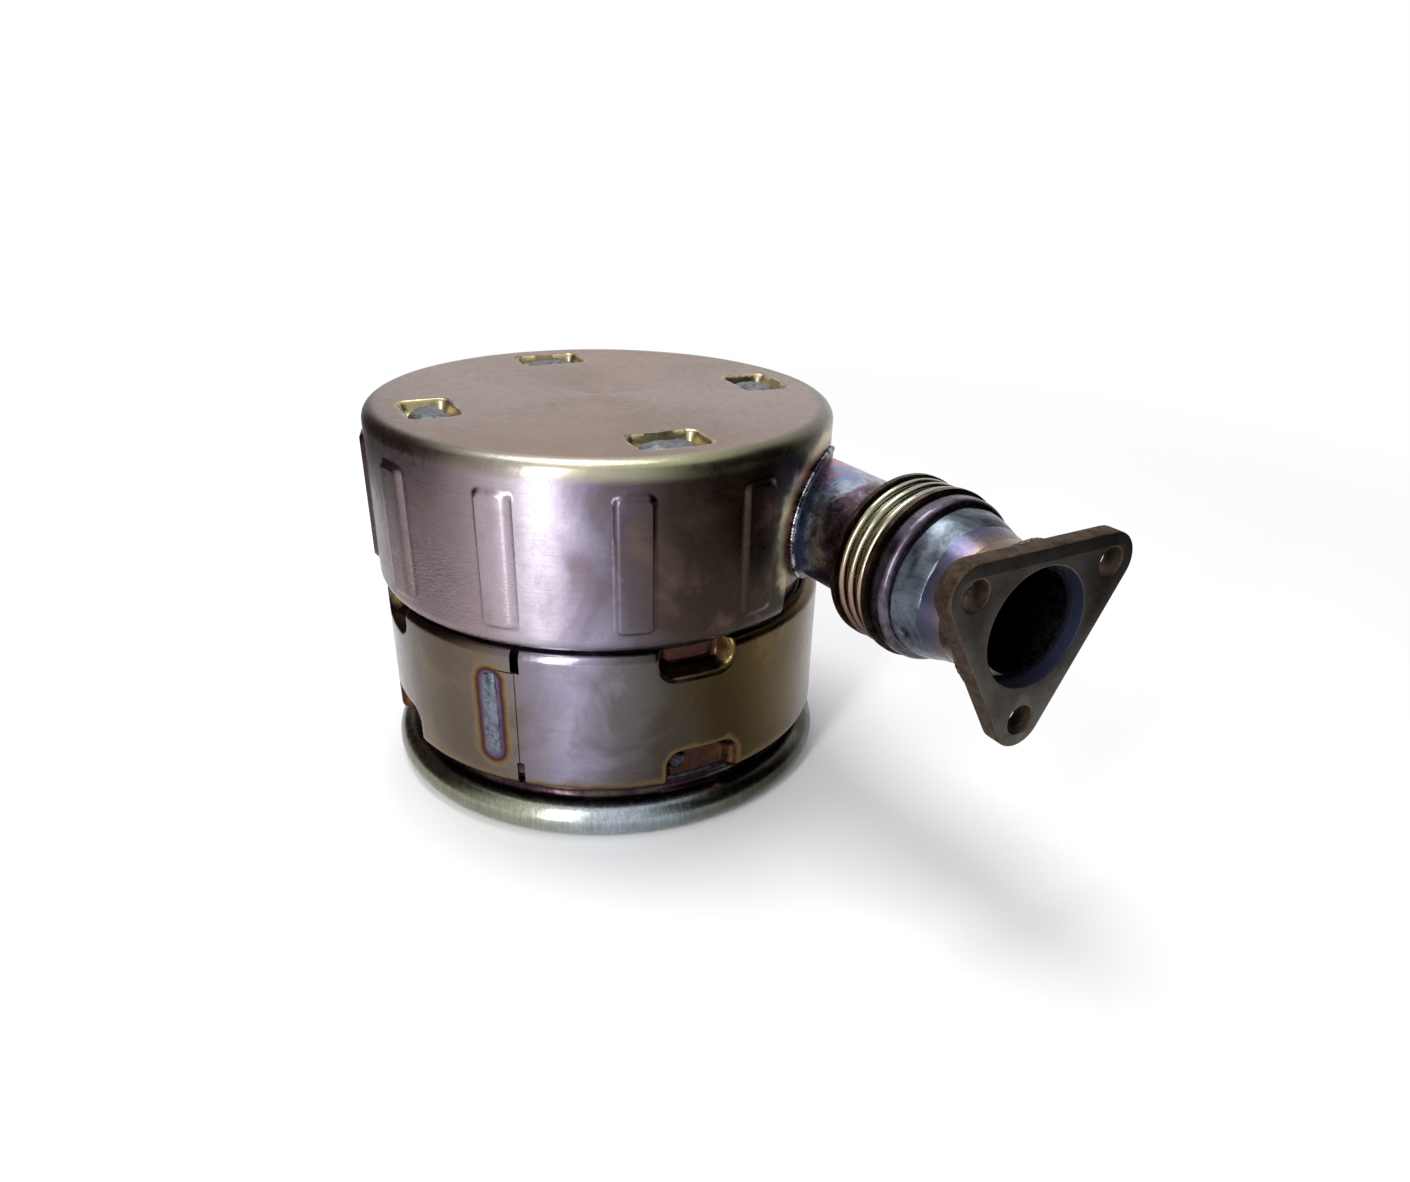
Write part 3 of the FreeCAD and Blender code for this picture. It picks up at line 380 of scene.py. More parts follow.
def mixed_surface(tree, share, first, second, end="ShaderNodeOutputMaterial"):
    """End a tree with two shaders, the second coming in as share rises."""
    mix = add(tree, "ShaderNodeMixShader", {0: share, 1: first, 2: second})
    add(tree, end, {"Surface": mix})


def wander(tree, value, cloud, reach):
    """Move a value up and down by a noise, as far as reach each way."""
    shift = add(tree, "ShaderNodeMath", {
        0: cloud, 1: reach * 2, 2: -reach}, operation="MULTIPLY_ADD")
    return add(tree, "ShaderNodeMath", {0: value, 1: shift}, operation="ADD")


def axis_distance(tree, where, across):
    """Distance from an axis; across is 1 along the two directions that count."""
    flat = add(tree, "ShaderNodeVectorMath", {0: where, 1: across}, operation="MULTIPLY")
    return add(tree, "ShaderNodeVectorMath", {0: flat}, operation="LENGTH")


def across_camera_view(tree, where, reach):
    """0 on the drum's plain side, at the camera's left, to 1 on its inlet side, at the camera's
    right, across the given radius; colour ramps on it paint highlight and shade.
    """
    across = (-math.sin(CAMERA_TURN), math.cos(CAMERA_TURN), 0.0)
    dot = add(tree, "ShaderNodeVectorMath", {0: where, 1: across}, operation="DOT_PRODUCT")
    return add(tree, "ShaderNodeMapRange", {"Value": dot, "From Min": -reach, "From Max": reach})


def drum_steel(name, tones, blotch, heat_tones, rough, grain=(45, 45, 1600), dent=0.22,
               extra=None, crazed=False, streak=0.05):
    """Drawn and brushed stainless sheet with welding heat tint.

    tones run across the drum from its plain side, at the camera's left, to its
    inlet side, at the camera's right, and paint highlight and shade there as well
    as the steel's tint.  blotch is a second colour in soft patches.  The brushed
    grain runs round the drum, about 0.6 mm apart, drawn coarser than the real
    0.1 mm so that it shows.
    """
    made, tree = begin(name)
    where = add(tree, "ShaderNodeTexCoord").outputs["Object"]
    across = across_camera_view(tree, where, 0.1)
    patch = add(tree, "ShaderNodeTexNoise", {
        "Vector": where, "Scale": 28.0, "Detail": 5.0, "Roughness": 0.6, "Distortion": 0.6})
    base = add(tree, "ShaderNodeValToRGB", {
        "Fac": wander(tree, across, patch, 0.11)}, ramp=tones)
    if extra is not None:
        base = extra(tree, where, base)
    fade = add(tree, "ShaderNodeMapRange", {
        "Value": patch, "From Min": 0.52, "From Max": 0.72, "To Max": 0.55})
    blotched = add(tree, "ShaderNodeMix", {
        "Factor": fade, "A": base, "B": colour(blotch)}, data_type="RGBA")
    stretch = add(tree, "ShaderNodeMapping", {"Vector": where, "Scale": grain})
    brushed = add(tree, "ShaderNodeTexNoise", {
        "Vector": stretch, "Scale": 1.0, "Detail": 3.0, "Roughness": 0.55})
    shade = add(tree, "ShaderNodeMapRange", {
        "Value": brushed, "From Min": 0.3, "From Max": 0.7, "To Min": 1 - streak,
        "To Max": 1 + streak})
    toned = add(tree, "ShaderNodeVectorMath", {0: blotched, "Scale": shade}, operation="SCALE")
    heat = add(tree, "ShaderNodeAttribute", attribute_name="weld_tint")
    cloud = add(tree, "ShaderNodeTexNoise", {"Vector": where, "Scale": 160.0, "Detail": 3.0})
    moved = wander(tree, heat.outputs["Fac"], cloud, 0.12)
    warm = add(tree, "ShaderNodeValToRGB", {"Fac": moved}, ramp=heat_tones)
    amount = add(tree, "ShaderNodeMapRange", {
        "Value": moved, "From Min": 0.12, "From Max": 0.4}, interpolation_type="SMOOTHSTEP")
    tinted = add(tree, "ShaderNodeMix", {
        "Factor": amount, "A": toned, "B": warm}, data_type="RGBA")
    scratches = add(tree, "ShaderNodeTexNoise", {
        "Vector": where, "Scale": 90.0, "Detail": 8.0, "Roughness": 0.7, "Distortion": 2.5})
    roughened = add(tree, "ShaderNodeMapRange", {
        "Value": scratches, "From Min": 0.3, "From Max": 0.7, "To Min": rough - 0.06,
        "To Max": rough + 0.08})
    fine = add(tree, "ShaderNodeBump", {"Height": brushed, "Strength": 0.12, "Distance": 0.0003})
    bumped = add(tree, "ShaderNodeBump", {
        "Height": scratches, "Normal": fine, "Strength": dent, "Distance": 0.0004})
    if crazed:
        bumped = crazing(tree, where, across, bumped)
    along = add(tree, "ShaderNodeTangent", direction_type="RADIAL", axis="Z")
    surface(tree, {
        "Metallic": 1.0, "Anisotropic": 0.5, "Anisotropic Rotation": 0.25, "Base Color": tinted,
        "Roughness": roughened, "Normal": bumped, "Tangent": along})
    return made


def crazing(tree, where, across, smoother):
    """Wavy stretch marks 1.5 mm apart, low on the plain side where the skirt was drawn."""
    split = add(tree, "ShaderNodeSeparateXYZ", {"Vector": where})
    low = add(tree, "ShaderNodeMapRange", {
        "Value": split.outputs["Z"], "From Min": 0.137, "From Max": 0.108},
        interpolation_type="SMOOTHSTEP")
    side = add(tree, "ShaderNodeMapRange", {
        "Value": across, "From Min": 0.40, "From Max": 0.22}, interpolation_type="SMOOTHSTEP")
    both = add(tree, "ShaderNodeMath", {0: low, 1: side}, operation="MULTIPLY")
    amount = add(tree, "ShaderNodeMath", {0: both, 1: 0.16}, operation="MULTIPLY")
    stretch = add(tree, "ShaderNodeMapping", {"Vector": where, "Scale": (1, 1, 2.6)})
    marks = add(tree, "ShaderNodeTexVoronoi", {
        "Vector": stretch, "Scale": 260.0, "Randomness": 1.0}, feature="DISTANCE_TO_EDGE")
    folds = add(tree, "ShaderNodeMapRange", {"Value": marks, "From Max": 0.25})
    return add(tree, "ShaderNodeBump", {
        "Height": folds, "Strength": amount, "Normal": smoother, "Distance": 0.0005})


def mixed_steel(name, tones, size, rough, bump=0.3, bump_size=600.0, metallic=1.0,
                distortion=1.0):
    """Steel whose oxide colours lie in patches of the given size in metres."""
    made, tree = begin(name)
    where = add(tree, "ShaderNodeTexCoord").outputs["Object"]
    patch = add(tree, "ShaderNodeTexNoise", {
        "Vector": where, "Scale": 1.0 / size, "Detail": 6.0, "Roughness": 0.62,
        "Distortion": distortion})
    spreading = add(tree, "ShaderNodeMapRange", {
        "Value": patch, "From Min": 0.3, "From Max": 0.7})
    base = add(tree, "ShaderNodeValToRGB", {"Fac": spreading}, ramp=tones)
    grain = add(tree, "ShaderNodeTexNoise", {
        "Vector": where, "Scale": bump_size, "Detail": 5.0, "Roughness": 0.65})
    roughened = add(tree, "ShaderNodeMapRange", {
        "Value": grain, "From Min": 0.3, "From Max": 0.7, "To Min": rough - 0.08,
        "To Max": rough + 0.1})
    bumped = add(tree, "ShaderNodeBump", {"Height": grain, "Strength": bump, "Distance": 0.0004})
    surface(tree, {
        "Metallic": metallic, "Base Color": base, "Roughness": roughened, "Normal": bumped})
    return made


# Finishes made by mixed_steel: the patches' size, the roughness, the tones, what differs.
PATCHED = {
    # MIG weld metal: grey, slightly blue, with dark slag flecks in its hollows
    "mig_weld_metal": (0.005, 0.42, [
        (0.0, "#2c2b2c"), (0.35, "#50545a"), (0.6, "#6b7176"), (0.85, "#56524c"),
        (1.0, "#3b3631")], {"bump": 0.5, "bump_size": 700.0}),
    # spot weld, burnt nearly black by the arc
    "burnt_spot_weld": (0.003, 0.4, [
        (0.0, "#1f1d1e"), (0.5, "#3a3a3f"), (1.0, "#5a5452")], {"bump": 0.5, "bump_size": 1200.0}),
    # grey-blue plug weld with straw and violet in its swirls
    "blue_grey_seam_weld": (0.007, 0.4, [
        (0.0, "#35363d"), (0.4, "#545a66"), (0.62, "#6d737c"), (0.8, "#5e545c"),
        (1.0, "#6c5e4c")], {"bump": 0.5, "bump_size": 800.0}),
    # fresh bead, bright where the arc left it clean, with bright patches also painted as highlight
    # on its ripples and near-black patches painted as the shade of the gap beside the opening
    "bright_weld_bead": (0.005, 0.28, [
        (0.0, "#1b1a1c"), (0.42, "#3a3a3e"), (0.52, "#8d9094"), (0.66, "#b0aeb0"),
        (1.0, "#4a4650")], {"bump": 0.4, "bump_size": 700.0}),
    # fillet weld under the brown scale that welding slag leaves
    "brown_scaled_weld": (0.006, 0.5, [
        (0.0, "#241d17"), (0.4, "#463a2e"), (0.65, "#6b5a47"), (0.85, "#7d6f60"),
        (1.0, "#51483d")], {"bump": 0.6, "bump_size": 700.0}),
    # broad weld over the neck: grey-blue with violet swirls, smoother than a bead
    "swirled_weld_metal": (0.022, 0.3, [
        (0.0, "#2c2b35"), (0.3, "#3e414c"), (0.5, "#4d555c"), (0.68, "#59626a"),
        (0.85, "#4b485c"), (1.0, "#35313c")],
        {"bump": 0.15, "bump_size": 420.0, "distortion": 1.4}),
    # collar under black oxide, browner where the oxide is thin
    "black_oxide_collar": (0.009, 0.38, [
        (0.0, "#1d1512"), (0.5, "#3a2c26"), (0.8, "#57473c"), (1.0, "#6f6152")],
        {"bump": 0.25}),
    # shoulder ring, turned smooth and tinted violet by weld heat
    "violet_tinted_shoulder": (0.02, 0.27, [
        (0.0, "#2f292c"), (0.4, "#4a424c"), (0.65, "#5c5562"), (1.0, "#3f4149")],
        {"bump": 0.08, "distortion": 1.8}),
    # pressed inner sheet, dull and brown with furnace scale
    "scaled_inner_shell": (0.02, 0.45, [
        (0.0, "#4a4038"), (0.5, "#6d6058"), (1.0, "#8a7a6c")], {}),
    # pressed ceramic fibre: pale, matte and coarse
    "ceramic_fibre_mat": (0.01, 0.85, [
        (0.0, "#b3ad9c"), (0.5, "#c9c4b5"), (1.0, "#d8d4c8")],
        {"bump": 0.6, "bump_size": 1500.0, "metallic": 0.0}),
    # knitted stainless wire, pressed into a ring: random tone whose bright patches are painted
    # highlight on the loops and whose dark patches are painted shade in the gaps
    "knitted_steel_wire": (0.002, 0.4, [
        (0.0, "#4d4d4d"), (0.5, "#8a8a88"), (1.0, "#b0b0ac")], {"bump": 0.8, "bump_size": 1800.0}),
}


def patched(name):
    """Make one of the finishes in the table above."""
    size, rough, tones, rest = PATCHED[name]
    return mixed_steel(name, tones, size, rough, **rest)


def pipe_steel(name, tones, node, rough, swirl=0.25, bump=0.25, rings=0.0, axis="X"):
    """Tube steel with heat colours in bands, from a node's low end to its high end.

    swirl is how far the bands wander, and rings is how much turning shows.
    """
    made, tree = begin(name)
    low, high = (corner["XYZ".index(axis)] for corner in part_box(node))
    where = add(tree, "ShaderNodeTexCoord").outputs["Object"]
    split = add(tree, "ShaderNodeSeparateXYZ", {"Vector": where})
    along = add(tree, "ShaderNodeMapRange", {
        "Value": split.outputs[axis], "From Min": low, "From Max": high})
    patch = add(tree, "ShaderNodeTexNoise", {
        "Vector": where, "Scale": 55.0, "Detail": 5.0, "Roughness": 0.6, "Distortion": 1.6})
    base = add(tree, "ShaderNodeValToRGB", {
        "Fac": wander(tree, along, patch, swirl)}, ramp=tones)
    grain = add(tree, "ShaderNodeTexNoise", {"Vector": where, "Scale": 500.0, "Detail": 4.0})
    turned = add(tree, "ShaderNodeTexWave", {
        "Vector": where, "Scale": 180.0, "Distortion": 0.5}, bands_direction="X")
    height = add(tree, "ShaderNodeMix", {
        "A": grain, "B": turned.outputs["Fac"], "Factor": rings})
    roughened = add(tree, "ShaderNodeMapRange", {
        "Value": grain, "From Min": 0.3, "From Max": 0.7, "To Min": rough - 0.06,
        "To Max": rough + 0.08})
    bumped = add(tree, "ShaderNodeBump", {
        "Height": height, "Strength": bump, "Distance": 0.0003})
    surface(tree, {
        "Metallic": 1.0, "Base Color": base, "Roughness": roughened, "Normal": bumped})
    return made


def shield_material(settings):
    """Drawn stainless: mauve brushed side, taupe top, pale polished rim.

    Deep drawing stretches and burnishes the bend, so the rim is paler and
    smoother than the flat top, which keeps the mill's dull finish.  Across the
    view the side and the rim also carry a painted highlight in the middle and
    painted shade towards the inlet side.
    """
    def top_and_rim(tree, where, base):
        split = add(tree, "ShaderNodeSeparateXYZ", {"Vector": where})
        radius = axis_distance(tree, where, (1, 1, 0))
        edge = add(tree, "ShaderNodeMapRange", {
            "Value": radius, "From Min": 0.0915, "From Max": 0.0955},
            interpolation_type="SMOOTHSTEP")
        taupe = add(tree, "ShaderNodeTexNoise", {
            "Vector": where, "Scale": 14.0, "Detail": 6.0, "Roughness": 0.6})
        top = add(tree, "ShaderNodeValToRGB", {
            "Fac": taupe}, ramp=[(0.3, "#846b60"), (0.5, settings.top_steel), (0.7, "#705e4c")])
        height = add(tree, "ShaderNodeMapRange", {
            "Value": split.outputs["Z"], "From Min": SHIELD_TOP - 0.009,
            "From Max": SHIELD_TOP - 0.004}, interpolation_type="SMOOTHSTEP")
        # the rim's ramp across the view: its pale middle is a painted highlight and its dark inlet
        # end painted shade, over the rim's own paler tone
        rim_tone_and_sheen = add(tree, "ShaderNodeValToRGB", {
            "Fac": across_camera_view(tree, where, 0.1)}, ramp=[(0.0, "#6c645a"), (0.22, "#7c7468"),
            (0.36, "#938d84"), (0.5, "#a4a08c"), (0.64, "#9c9c7c"), (0.78, "#6e6a54"),
            (1.0, "#4e4337")])
        rim = add(tree, "ShaderNodeMix", {
            "Factor": height, "A": base, "B": rim_tone_and_sheen}, data_type="RGBA")
        return add(tree, "ShaderNodeMix", {"Factor": edge, "A": top, "B": rim}, data_type="RGBA")

    # side ramp across the view: the lavender band is a painted highlight and the dark brown inlet
    # half painted shade, over the steel's mauve and brown tint
    tones = [(0.0, "#5c4f50"), (0.1, "#6b5c5e"), (0.26, "#86777c"), (0.37, "#b0a8b4"),
             (0.46, "#80788a"), (0.53, "#554d54"), (0.62, "#40362f"), (0.8, "#33291f"),
             (1.0, "#271f18")]
    return drum_steel("drawn_brushed_stainless", tones, "#776258", SHEET_HEAT, 0.3,
                      extra=top_and_rim, crazed=True)


def band_material():
    """Rolled stainless band, straw to gold where the exhaust heat has tinted it, with a painted
    highlight and painted shade across the view.
    """
    # ramp across the view: the lavender band near the middle is a painted highlight and the dark
    # inlet end painted shade, over the straw and gold tint
    tones = [(0.0, "#443b2c"), (0.16, "#52473a"), (0.28, "#60564e"), (0.36, "#77707c"),
             (0.42, "#8f889c"), (0.5, "#5c5658"), (0.6, "#3e3830"), (0.72, "#3a2f1c"),
             (0.88, "#4e3e1c"), (1.0, "#463614")]
    return drum_steel("straw_tinted_stainless", tones, "#6d5c3c", BAND_HEAT, 0.21,
                      dent=0.2)


# ------------------------------------------------------------- drum pieces

def rib_angles(settings):
    return [settings.rib_first + k * math.radians(30) for k in range(settings.rib_count)]


def cutter(name, outline, low, high):
    """Prism along X from a closed outline of (y, z) points."""
    count = len(outline)
    vertices = [(low, y, z) for y, z in outline] + [(high, y, z) for y, z in outline]
    faces = [tuple(range(count - 1, -1, -1)), tuple(range(count, 2 * count))]
    faces += [(i, (i + 1) % count, count + (i + 1) % count, count + i) for i in range(count)]
    made = bpy.data.meshes.new(name)
    made.from_pydata(vertices, [], faces)
    return new_piece(name, made)


def cut_away(piece, *shapes):
    """Cut shapes out of a piece, and drop them."""
    for shape in shapes:
        cut = piece.modifiers.new("cut", "BOOLEAN")
        cut.operation = "DIFFERENCE"
        cut.solver = "EXACT"
        cut.object = shape
    settle(piece)
    for shape in shapes:
        bpy.data.objects.remove(shape)


def thicken(piece, sheet):
    wall = piece.modifiers.new("wall", "SOLIDIFY")
    wall.thickness = sheet
    wall.offset = -1.0
    wall.use_even_offset = True
    settle(piece)


class CONVERTER_OT_upper_shield(bpy.types.Operator):
    """Deep-drawn upper heat shield with its ribs and top pockets"""
    bl_idname = "converter.upper_shield"
    bl_label = "Upper heat shield"

    def execute(self, context):
        settings = context.scene.converter_shield
        ribs = rib_angles(settings)
        pockets = [settings.pocket_first + k * QUARTER for k in range(4)]
        half_rib = settings.rib_width / 2 / SHIELD_RADIUS
        fine = [(a + side * half_rib - 0.036, a + side * half_rib + 0.036)
                for a in ribs for side in (-1, 1)]
        half_pocket = settings.pocket_length / 2 / settings.pocket_radius
        fine += [(a - half_pocket - 0.05, a + half_pocket + 0.05) for a in pockets]
        columns = angles_round(fine, 0.0088, 0.035)
        crown, curl = settings.crown, settings.curl
        curl_z = SKIRT_LOW + curl * math.sin(settings.curl_turn)
        inner = SHIELD_RADIUS - crown
        path = [(r, SHIELD_TOP, 0.0, 1.0) for r in (0.0, 0.02, 0.04, 0.052, 0.058)]
        path += [(r, SHIELD_TOP, 0.0, 1.0) for r in spread(0.0605, 0.0885, 0.0009)]
        path += [(r, SHIELD_TOP, 0.0, 1.0) for r in spread(0.0885, inner, 0.0018)]
        path += bend(inner, SHIELD_TOP - crown, crown, QUARTER, 0, 10)
        # rows lie close together where the ribs end
        head, foot = settings.rib_high, settings.rib_low
        heights = (spread(SHIELD_TOP - crown - 0.001, head + 0.002, 0.002)
                   + spread(head + 0.002, head - 0.005, 0.0008)
                   + spread(head - 0.005, foot + 0.005, 0.0035)
                   + spread(foot + 0.005, foot - 0.002, 0.0008))
        path += [(SHIELD_RADIUS, z, 1.0, 0.0) for z in heights]
        path += bend(SHIELD_RADIUS - curl, curl_z, curl, 0, -settings.curl_turn, 9)
        r, z, out_part, up_part = np.array(path).T[:, :, None]
        u = columns[None, :]
        lift = np.zeros((len(path), len(columns)))
        side, level = out_part > 0.99, up_part > 0.99
        middle, tall = (foot + head) / 2, (head - foot) / 2
        for a in ribs:
            off = wrapped(u - a)
            d = box_distance(off * SHIELD_RADIUS, z - middle,
                             settings.rib_width / 2, tall, settings.rib_corner)
            # the punch leaves the rib's face flat across its width
            face = settings.rib_rise - 0.0002 + SHIELD_RADIUS * np.minimum(off, 0.1) ** 2 / 2
            lift += np.where(side, face * smooth(0.0001, -0.0017, d), 0)
        for a in pockets:
            d = box_distance(r * np.cos(u - a) - settings.pocket_radius, r * np.sin(u - a),
                             settings.pocket_width / 2, settings.pocket_length / 2, PRESS_EDGE)
            lift -= np.where(level, settings.pocket_depth * smooth(0.0006, -0.0024, d), 0)
        # drawing leaves the sheet a little uneven, and the ribs' faces less so
        dips = sheet_dips(round_points(r, u, z), (0.045, 3.1, 0.00016), (0.016, 9.7, 0.00005))
        lift += dips * np.where(lift > 0.0001, 0.3, 1.0)
        points = round_points(r + out_part * lift, u, z + up_part * lift)
        shield = new_piece("upper_shield", grid_mesh("upper_shield", points, pole=True))
        thicken(shield, settings.sheet)
        half = settings.slot_half
        arch = [(PIPE_Y + half * math.cos(a), PIPE_Z + half * math.sin(a))
                for a in np.linspace(0, math.pi, 49)]
        mouth = half + 0.0025
        arch += [(PIPE_Y - mouth, SKIRT_LOW), (PIPE_Y - mouth, SKIRT_LOW - 0.01),
                 (PIPE_Y + mouth, SKIRT_LOW - 0.01), (PIPE_Y + mouth, SKIRT_LOW)]
        cut_away(shield, cutter("inlet_opening", arch, 0.02, 0.15))
        places = vertex_array(shield.data)
        px, py, pz = places.T
        reach = np.hypot(py - PIPE_Y, pz - PIPE_Z) - half
        heat = np.where(px > 0.02, glow_near(reach, 0.007) * 0.75, 0)
        for a in pockets:
            out = px * math.cos(a) + py * math.sin(a)
            along = -px * math.sin(a) + py * math.cos(a)
            d = box_distance(out - settings.pocket_radius, along, settings.pocket_width / 2,
                             settings.pocket_length / 2, PRESS_EDGE)
            heat = np.maximum(heat, glow_near(d, 0.0020) * (pz > SHIELD_TOP - 0.008) * 0.27)
        give_heat(shield.data, heat)
        sharpen(shield.data, 50)
        dress(shield, "shield_steel", shield_material(settings), "upper_heat_shield")
        return {"FINISHED"}


class CONVERTER_OT_band(bpy.types.Operator):
    """Rolled lower heat shield with lips, notches, dimples and lap seam"""
    bl_idname = "converter.band"
    bl_label = "Lower heat shield"

    def execute(self, context):
        settings = context.scene.converter_band
        low, top = BAND_LOW.z, BAND_HIGH.z
        half = settings.press_width / 2 / BAND_RADIUS
        notches = [settings.notch_first + k * QUARTER for k in range(4)]
        dimples = [settings.dimple_first + k * QUARTER for k in range(4)]
        fine = [(a - half - 0.04, a + half + 0.04) for a in notches + dimples]
        fine += [(settings.seam - 0.22, settings.seam + 0.06)]
        columns = angles_round(fine, 0.0085, 0.035)
        lip, flat = settings.lip, settings.lip_flat
        inner = BAND_RADIUS - lip
        path = [(inner - flat, top, 0, 1), (inner - flat / 2, top, 0, 1)]
        path += bend(inner, top - lip, lip, QUARTER, 0, 9)
        levels = (spread(top - lip - 0.0009, top - 0.018, 0.0009)
                  + spread(top - 0.018, low + 0.021, 0.003)
                  + spread(low + 0.021, low + lip, 0.0009))
        path += [(BAND_RADIUS, z, 1, 0) for z in levels]
        path += bend(inner, low + lip, lip, 0, -QUARTER, 9)
        path += [(inner - flat / 2, low, 0, -1), (inner - flat, low, 0, -1)]
        r, z = np.array(path).T[:2, :, None]
        u = columns[None, :]
        pressed = np.zeros((len(path), len(columns)))
        wide, corner = settings.press_width / 2, settings.press_corner
        # each pressing runs out past a lip, and is closed at its other end
        presses = [(a, top + 0.03, top - settings.notch_depth) for a in notches]
        presses += [(a, low - 0.03, low + settings.dimple_depth) for a in dimples]

        def from_press(press, angle, height):
            a, open_end, closed = press
            return box_distance(wrapped(angle - a) * BAND_RADIUS,
                                height - (open_end + closed) / 2, wide,
                                abs(open_end - closed) / 2, corner)

        for press in presses:
            pressed = np.maximum(pressed, smooth(0.0012, -0.0042, from_press(press, u, z)))
        floor = settings.press_floor + (r - BAND_RADIUS) * 0.06
        out_r = r * (1 - pressed) + floor * pressed
        dips = sheet_dips(round_points(r, u, z), (0.04, 5.3, 0.0002), (0.015, 1.9, 0.00006))
        out_r = out_r + dips * (1 - pressed)
        # the sheet is drawn in slightly beside the long seam weld
        seam_pull = np.exp(-(wrapped(u - settings.weld_angle) * BAND_RADIUS / 0.006) ** 2)
        tall_pull = smooth(low + 0.006, low + 0.016, z) * smooth(top - 0.005, top - 0.014, z)
        out_r = out_r - 0.0005 * seam_pull * tall_pull
        band = new_piece("lower_shield", grid_mesh("lower_shield", round_points(out_r, u, z)))
        thicken(band, settings.sheet)
        band.data.shade_smooth()
        # the seam's two slots and line, and the short line of the tab's upper edge
        gaps = [("upper_slot", -0.0019, 0.0019, top - 0.0105, top + 0.002, 0.012),
                ("lower_slot", -0.00165, 0.00165, low - 0.002, low + 0.012, 0.012),
                ("seam_line", -0.0007, 0.0007, low + 0.011, top - 0.009, 0.0007),
                ("tab_edge", -0.0088, -0.0010, top - 0.0107, top - 0.0101, 0.0011)]
        slots = []
        for name, left, right, start, end, deep in gaps:
            box = cutter(name, [(left, start), (right, start), (right, end), (left, end)],
                         BAND_RADIUS - deep, BAND_RADIUS + 0.002)
            box.data.transform(Matrix.Rotation(settings.seam, 4, "Z"))
            slots.append(box)
        cut_away(band, *slots)
        px, py, pz = vertex_array(band.data).T
        angle = np.arctan2(py, px)
        heat = np.zeros(len(px))
        # inside a notch or dimple the tint darkens with depth into the pressing: partly heat tint,
        # partly painted shade in the recess
        deep = np.clip((BAND_RADIUS - np.hypot(px, py)) / 0.0085, 0, 1)
        for press in presses:
            d = from_press(press, angle, pz)
            if press in presses[:len(notches)]:
                inside_tint_and_shade, beside = 0.2 + 0.3 * smooth(0.35, 0.95, deep), glow_near(d, 0.0022) * 0.24
            else:
                inside_tint_and_shade, beside = 0.36 + 0.12 * deep, glow_near(d, 0.003) * 0.5
            heat = np.maximum(heat, np.where(d < 0, inside_tint_and_shade, beside))
        s = wrapped(angle - settings.weld_angle) * BAND_RADIUS
        d = box_distance(s, pz - (low + top) / 2, *SEAM_WELD_HALF, SEAM_WELD_HALF[0])
        heat = np.maximum(heat, glow_near(d, 0.0035) * 0.84)
        heat = np.maximum(heat, glow_near(pz - low - 0.001, 0.004) * 0.6)
        give_heat(band.data, heat)
        band.data.set_sharp_from_angle(angle=math.radians(50))
        dress(band, "band_steel", band_material(), "lower_heat_shield")
        return {"FINISHED"}


# ------------------------------------------------------------- welds

def weld_group(name, *inputs):
    """Start a node tree with a Geometry output and its named, typed inputs."""
    tree = bpy.data.node_groups.new(name, "GeometryNodeTree")
    for label, kind, side, value in (
            ("Geometry", "Geometry", "OUTPUT", None), ("Geometry", "Geometry", "INPUT", None),
            *[(label, kind, "INPUT", value) for label, kind, value in inputs]):
        made = tree.interface.new_socket(label, in_out=side, socket_type="NodeSocket" + kind)
        if value is not None:
            made.default_value = value
    return tree, add(tree, "NodeGroupInput").outputs


def weld_tree():
    """Node tree that sets weld shapes round the drum and roughens them."""
    tree, given = weld_group(
        "welds_round_drum", ("Shape", "Object", None), ("Count", "Int", 4),
        ("Radius", "Float", 0.074), ("Height", "Float", 0.1), ("First angle", "Float", 0.0),
        ("Unevenness", "Float", 0.0006), ("Lump size", "Float", 0.004), ("Seed", "Float", 1.0),
        ("Material", "Material", None))
    index = add(tree, "GeometryNodeInputIndex")
    share = add(tree, "ShaderNodeMath", {0: index, 1: given["Count"]}, operation="DIVIDE")
    angle = add(tree, "ShaderNodeMath", {
        0: share, 2: given["First angle"], 1: 2 * math.pi}, operation="MULTIPLY_ADD")
    spin = add(tree, "ShaderNodeCombineXYZ", {"Z": angle})
    arm = add(tree, "ShaderNodeCombineXYZ", {"X": given["Radius"], "Z": given["Height"]})
    place = add(tree, "ShaderNodeVectorRotate", {
        "Vector": arm, "Angle": angle}, rotation_type="Z_AXIS")
    points = add(tree, "GeometryNodePoints", {"Count": given["Count"], "Position": place})
    shape = add(tree, "GeometryNodeObjectInfo", {"Object": given["Shape"]})
    rotation = add(tree, "FunctionNodeEulerToRotation", {"Euler": spin})
    copies = add(tree, "GeometryNodeInstanceOnPoints", {
        "Points": points, "Instance": shape.outputs["Geometry"], "Rotation": rotation})
    solid = add(tree, "GeometryNodeRealizeInstances", {"Geometry": copies})
    roughen(tree, solid, given)
    return tree


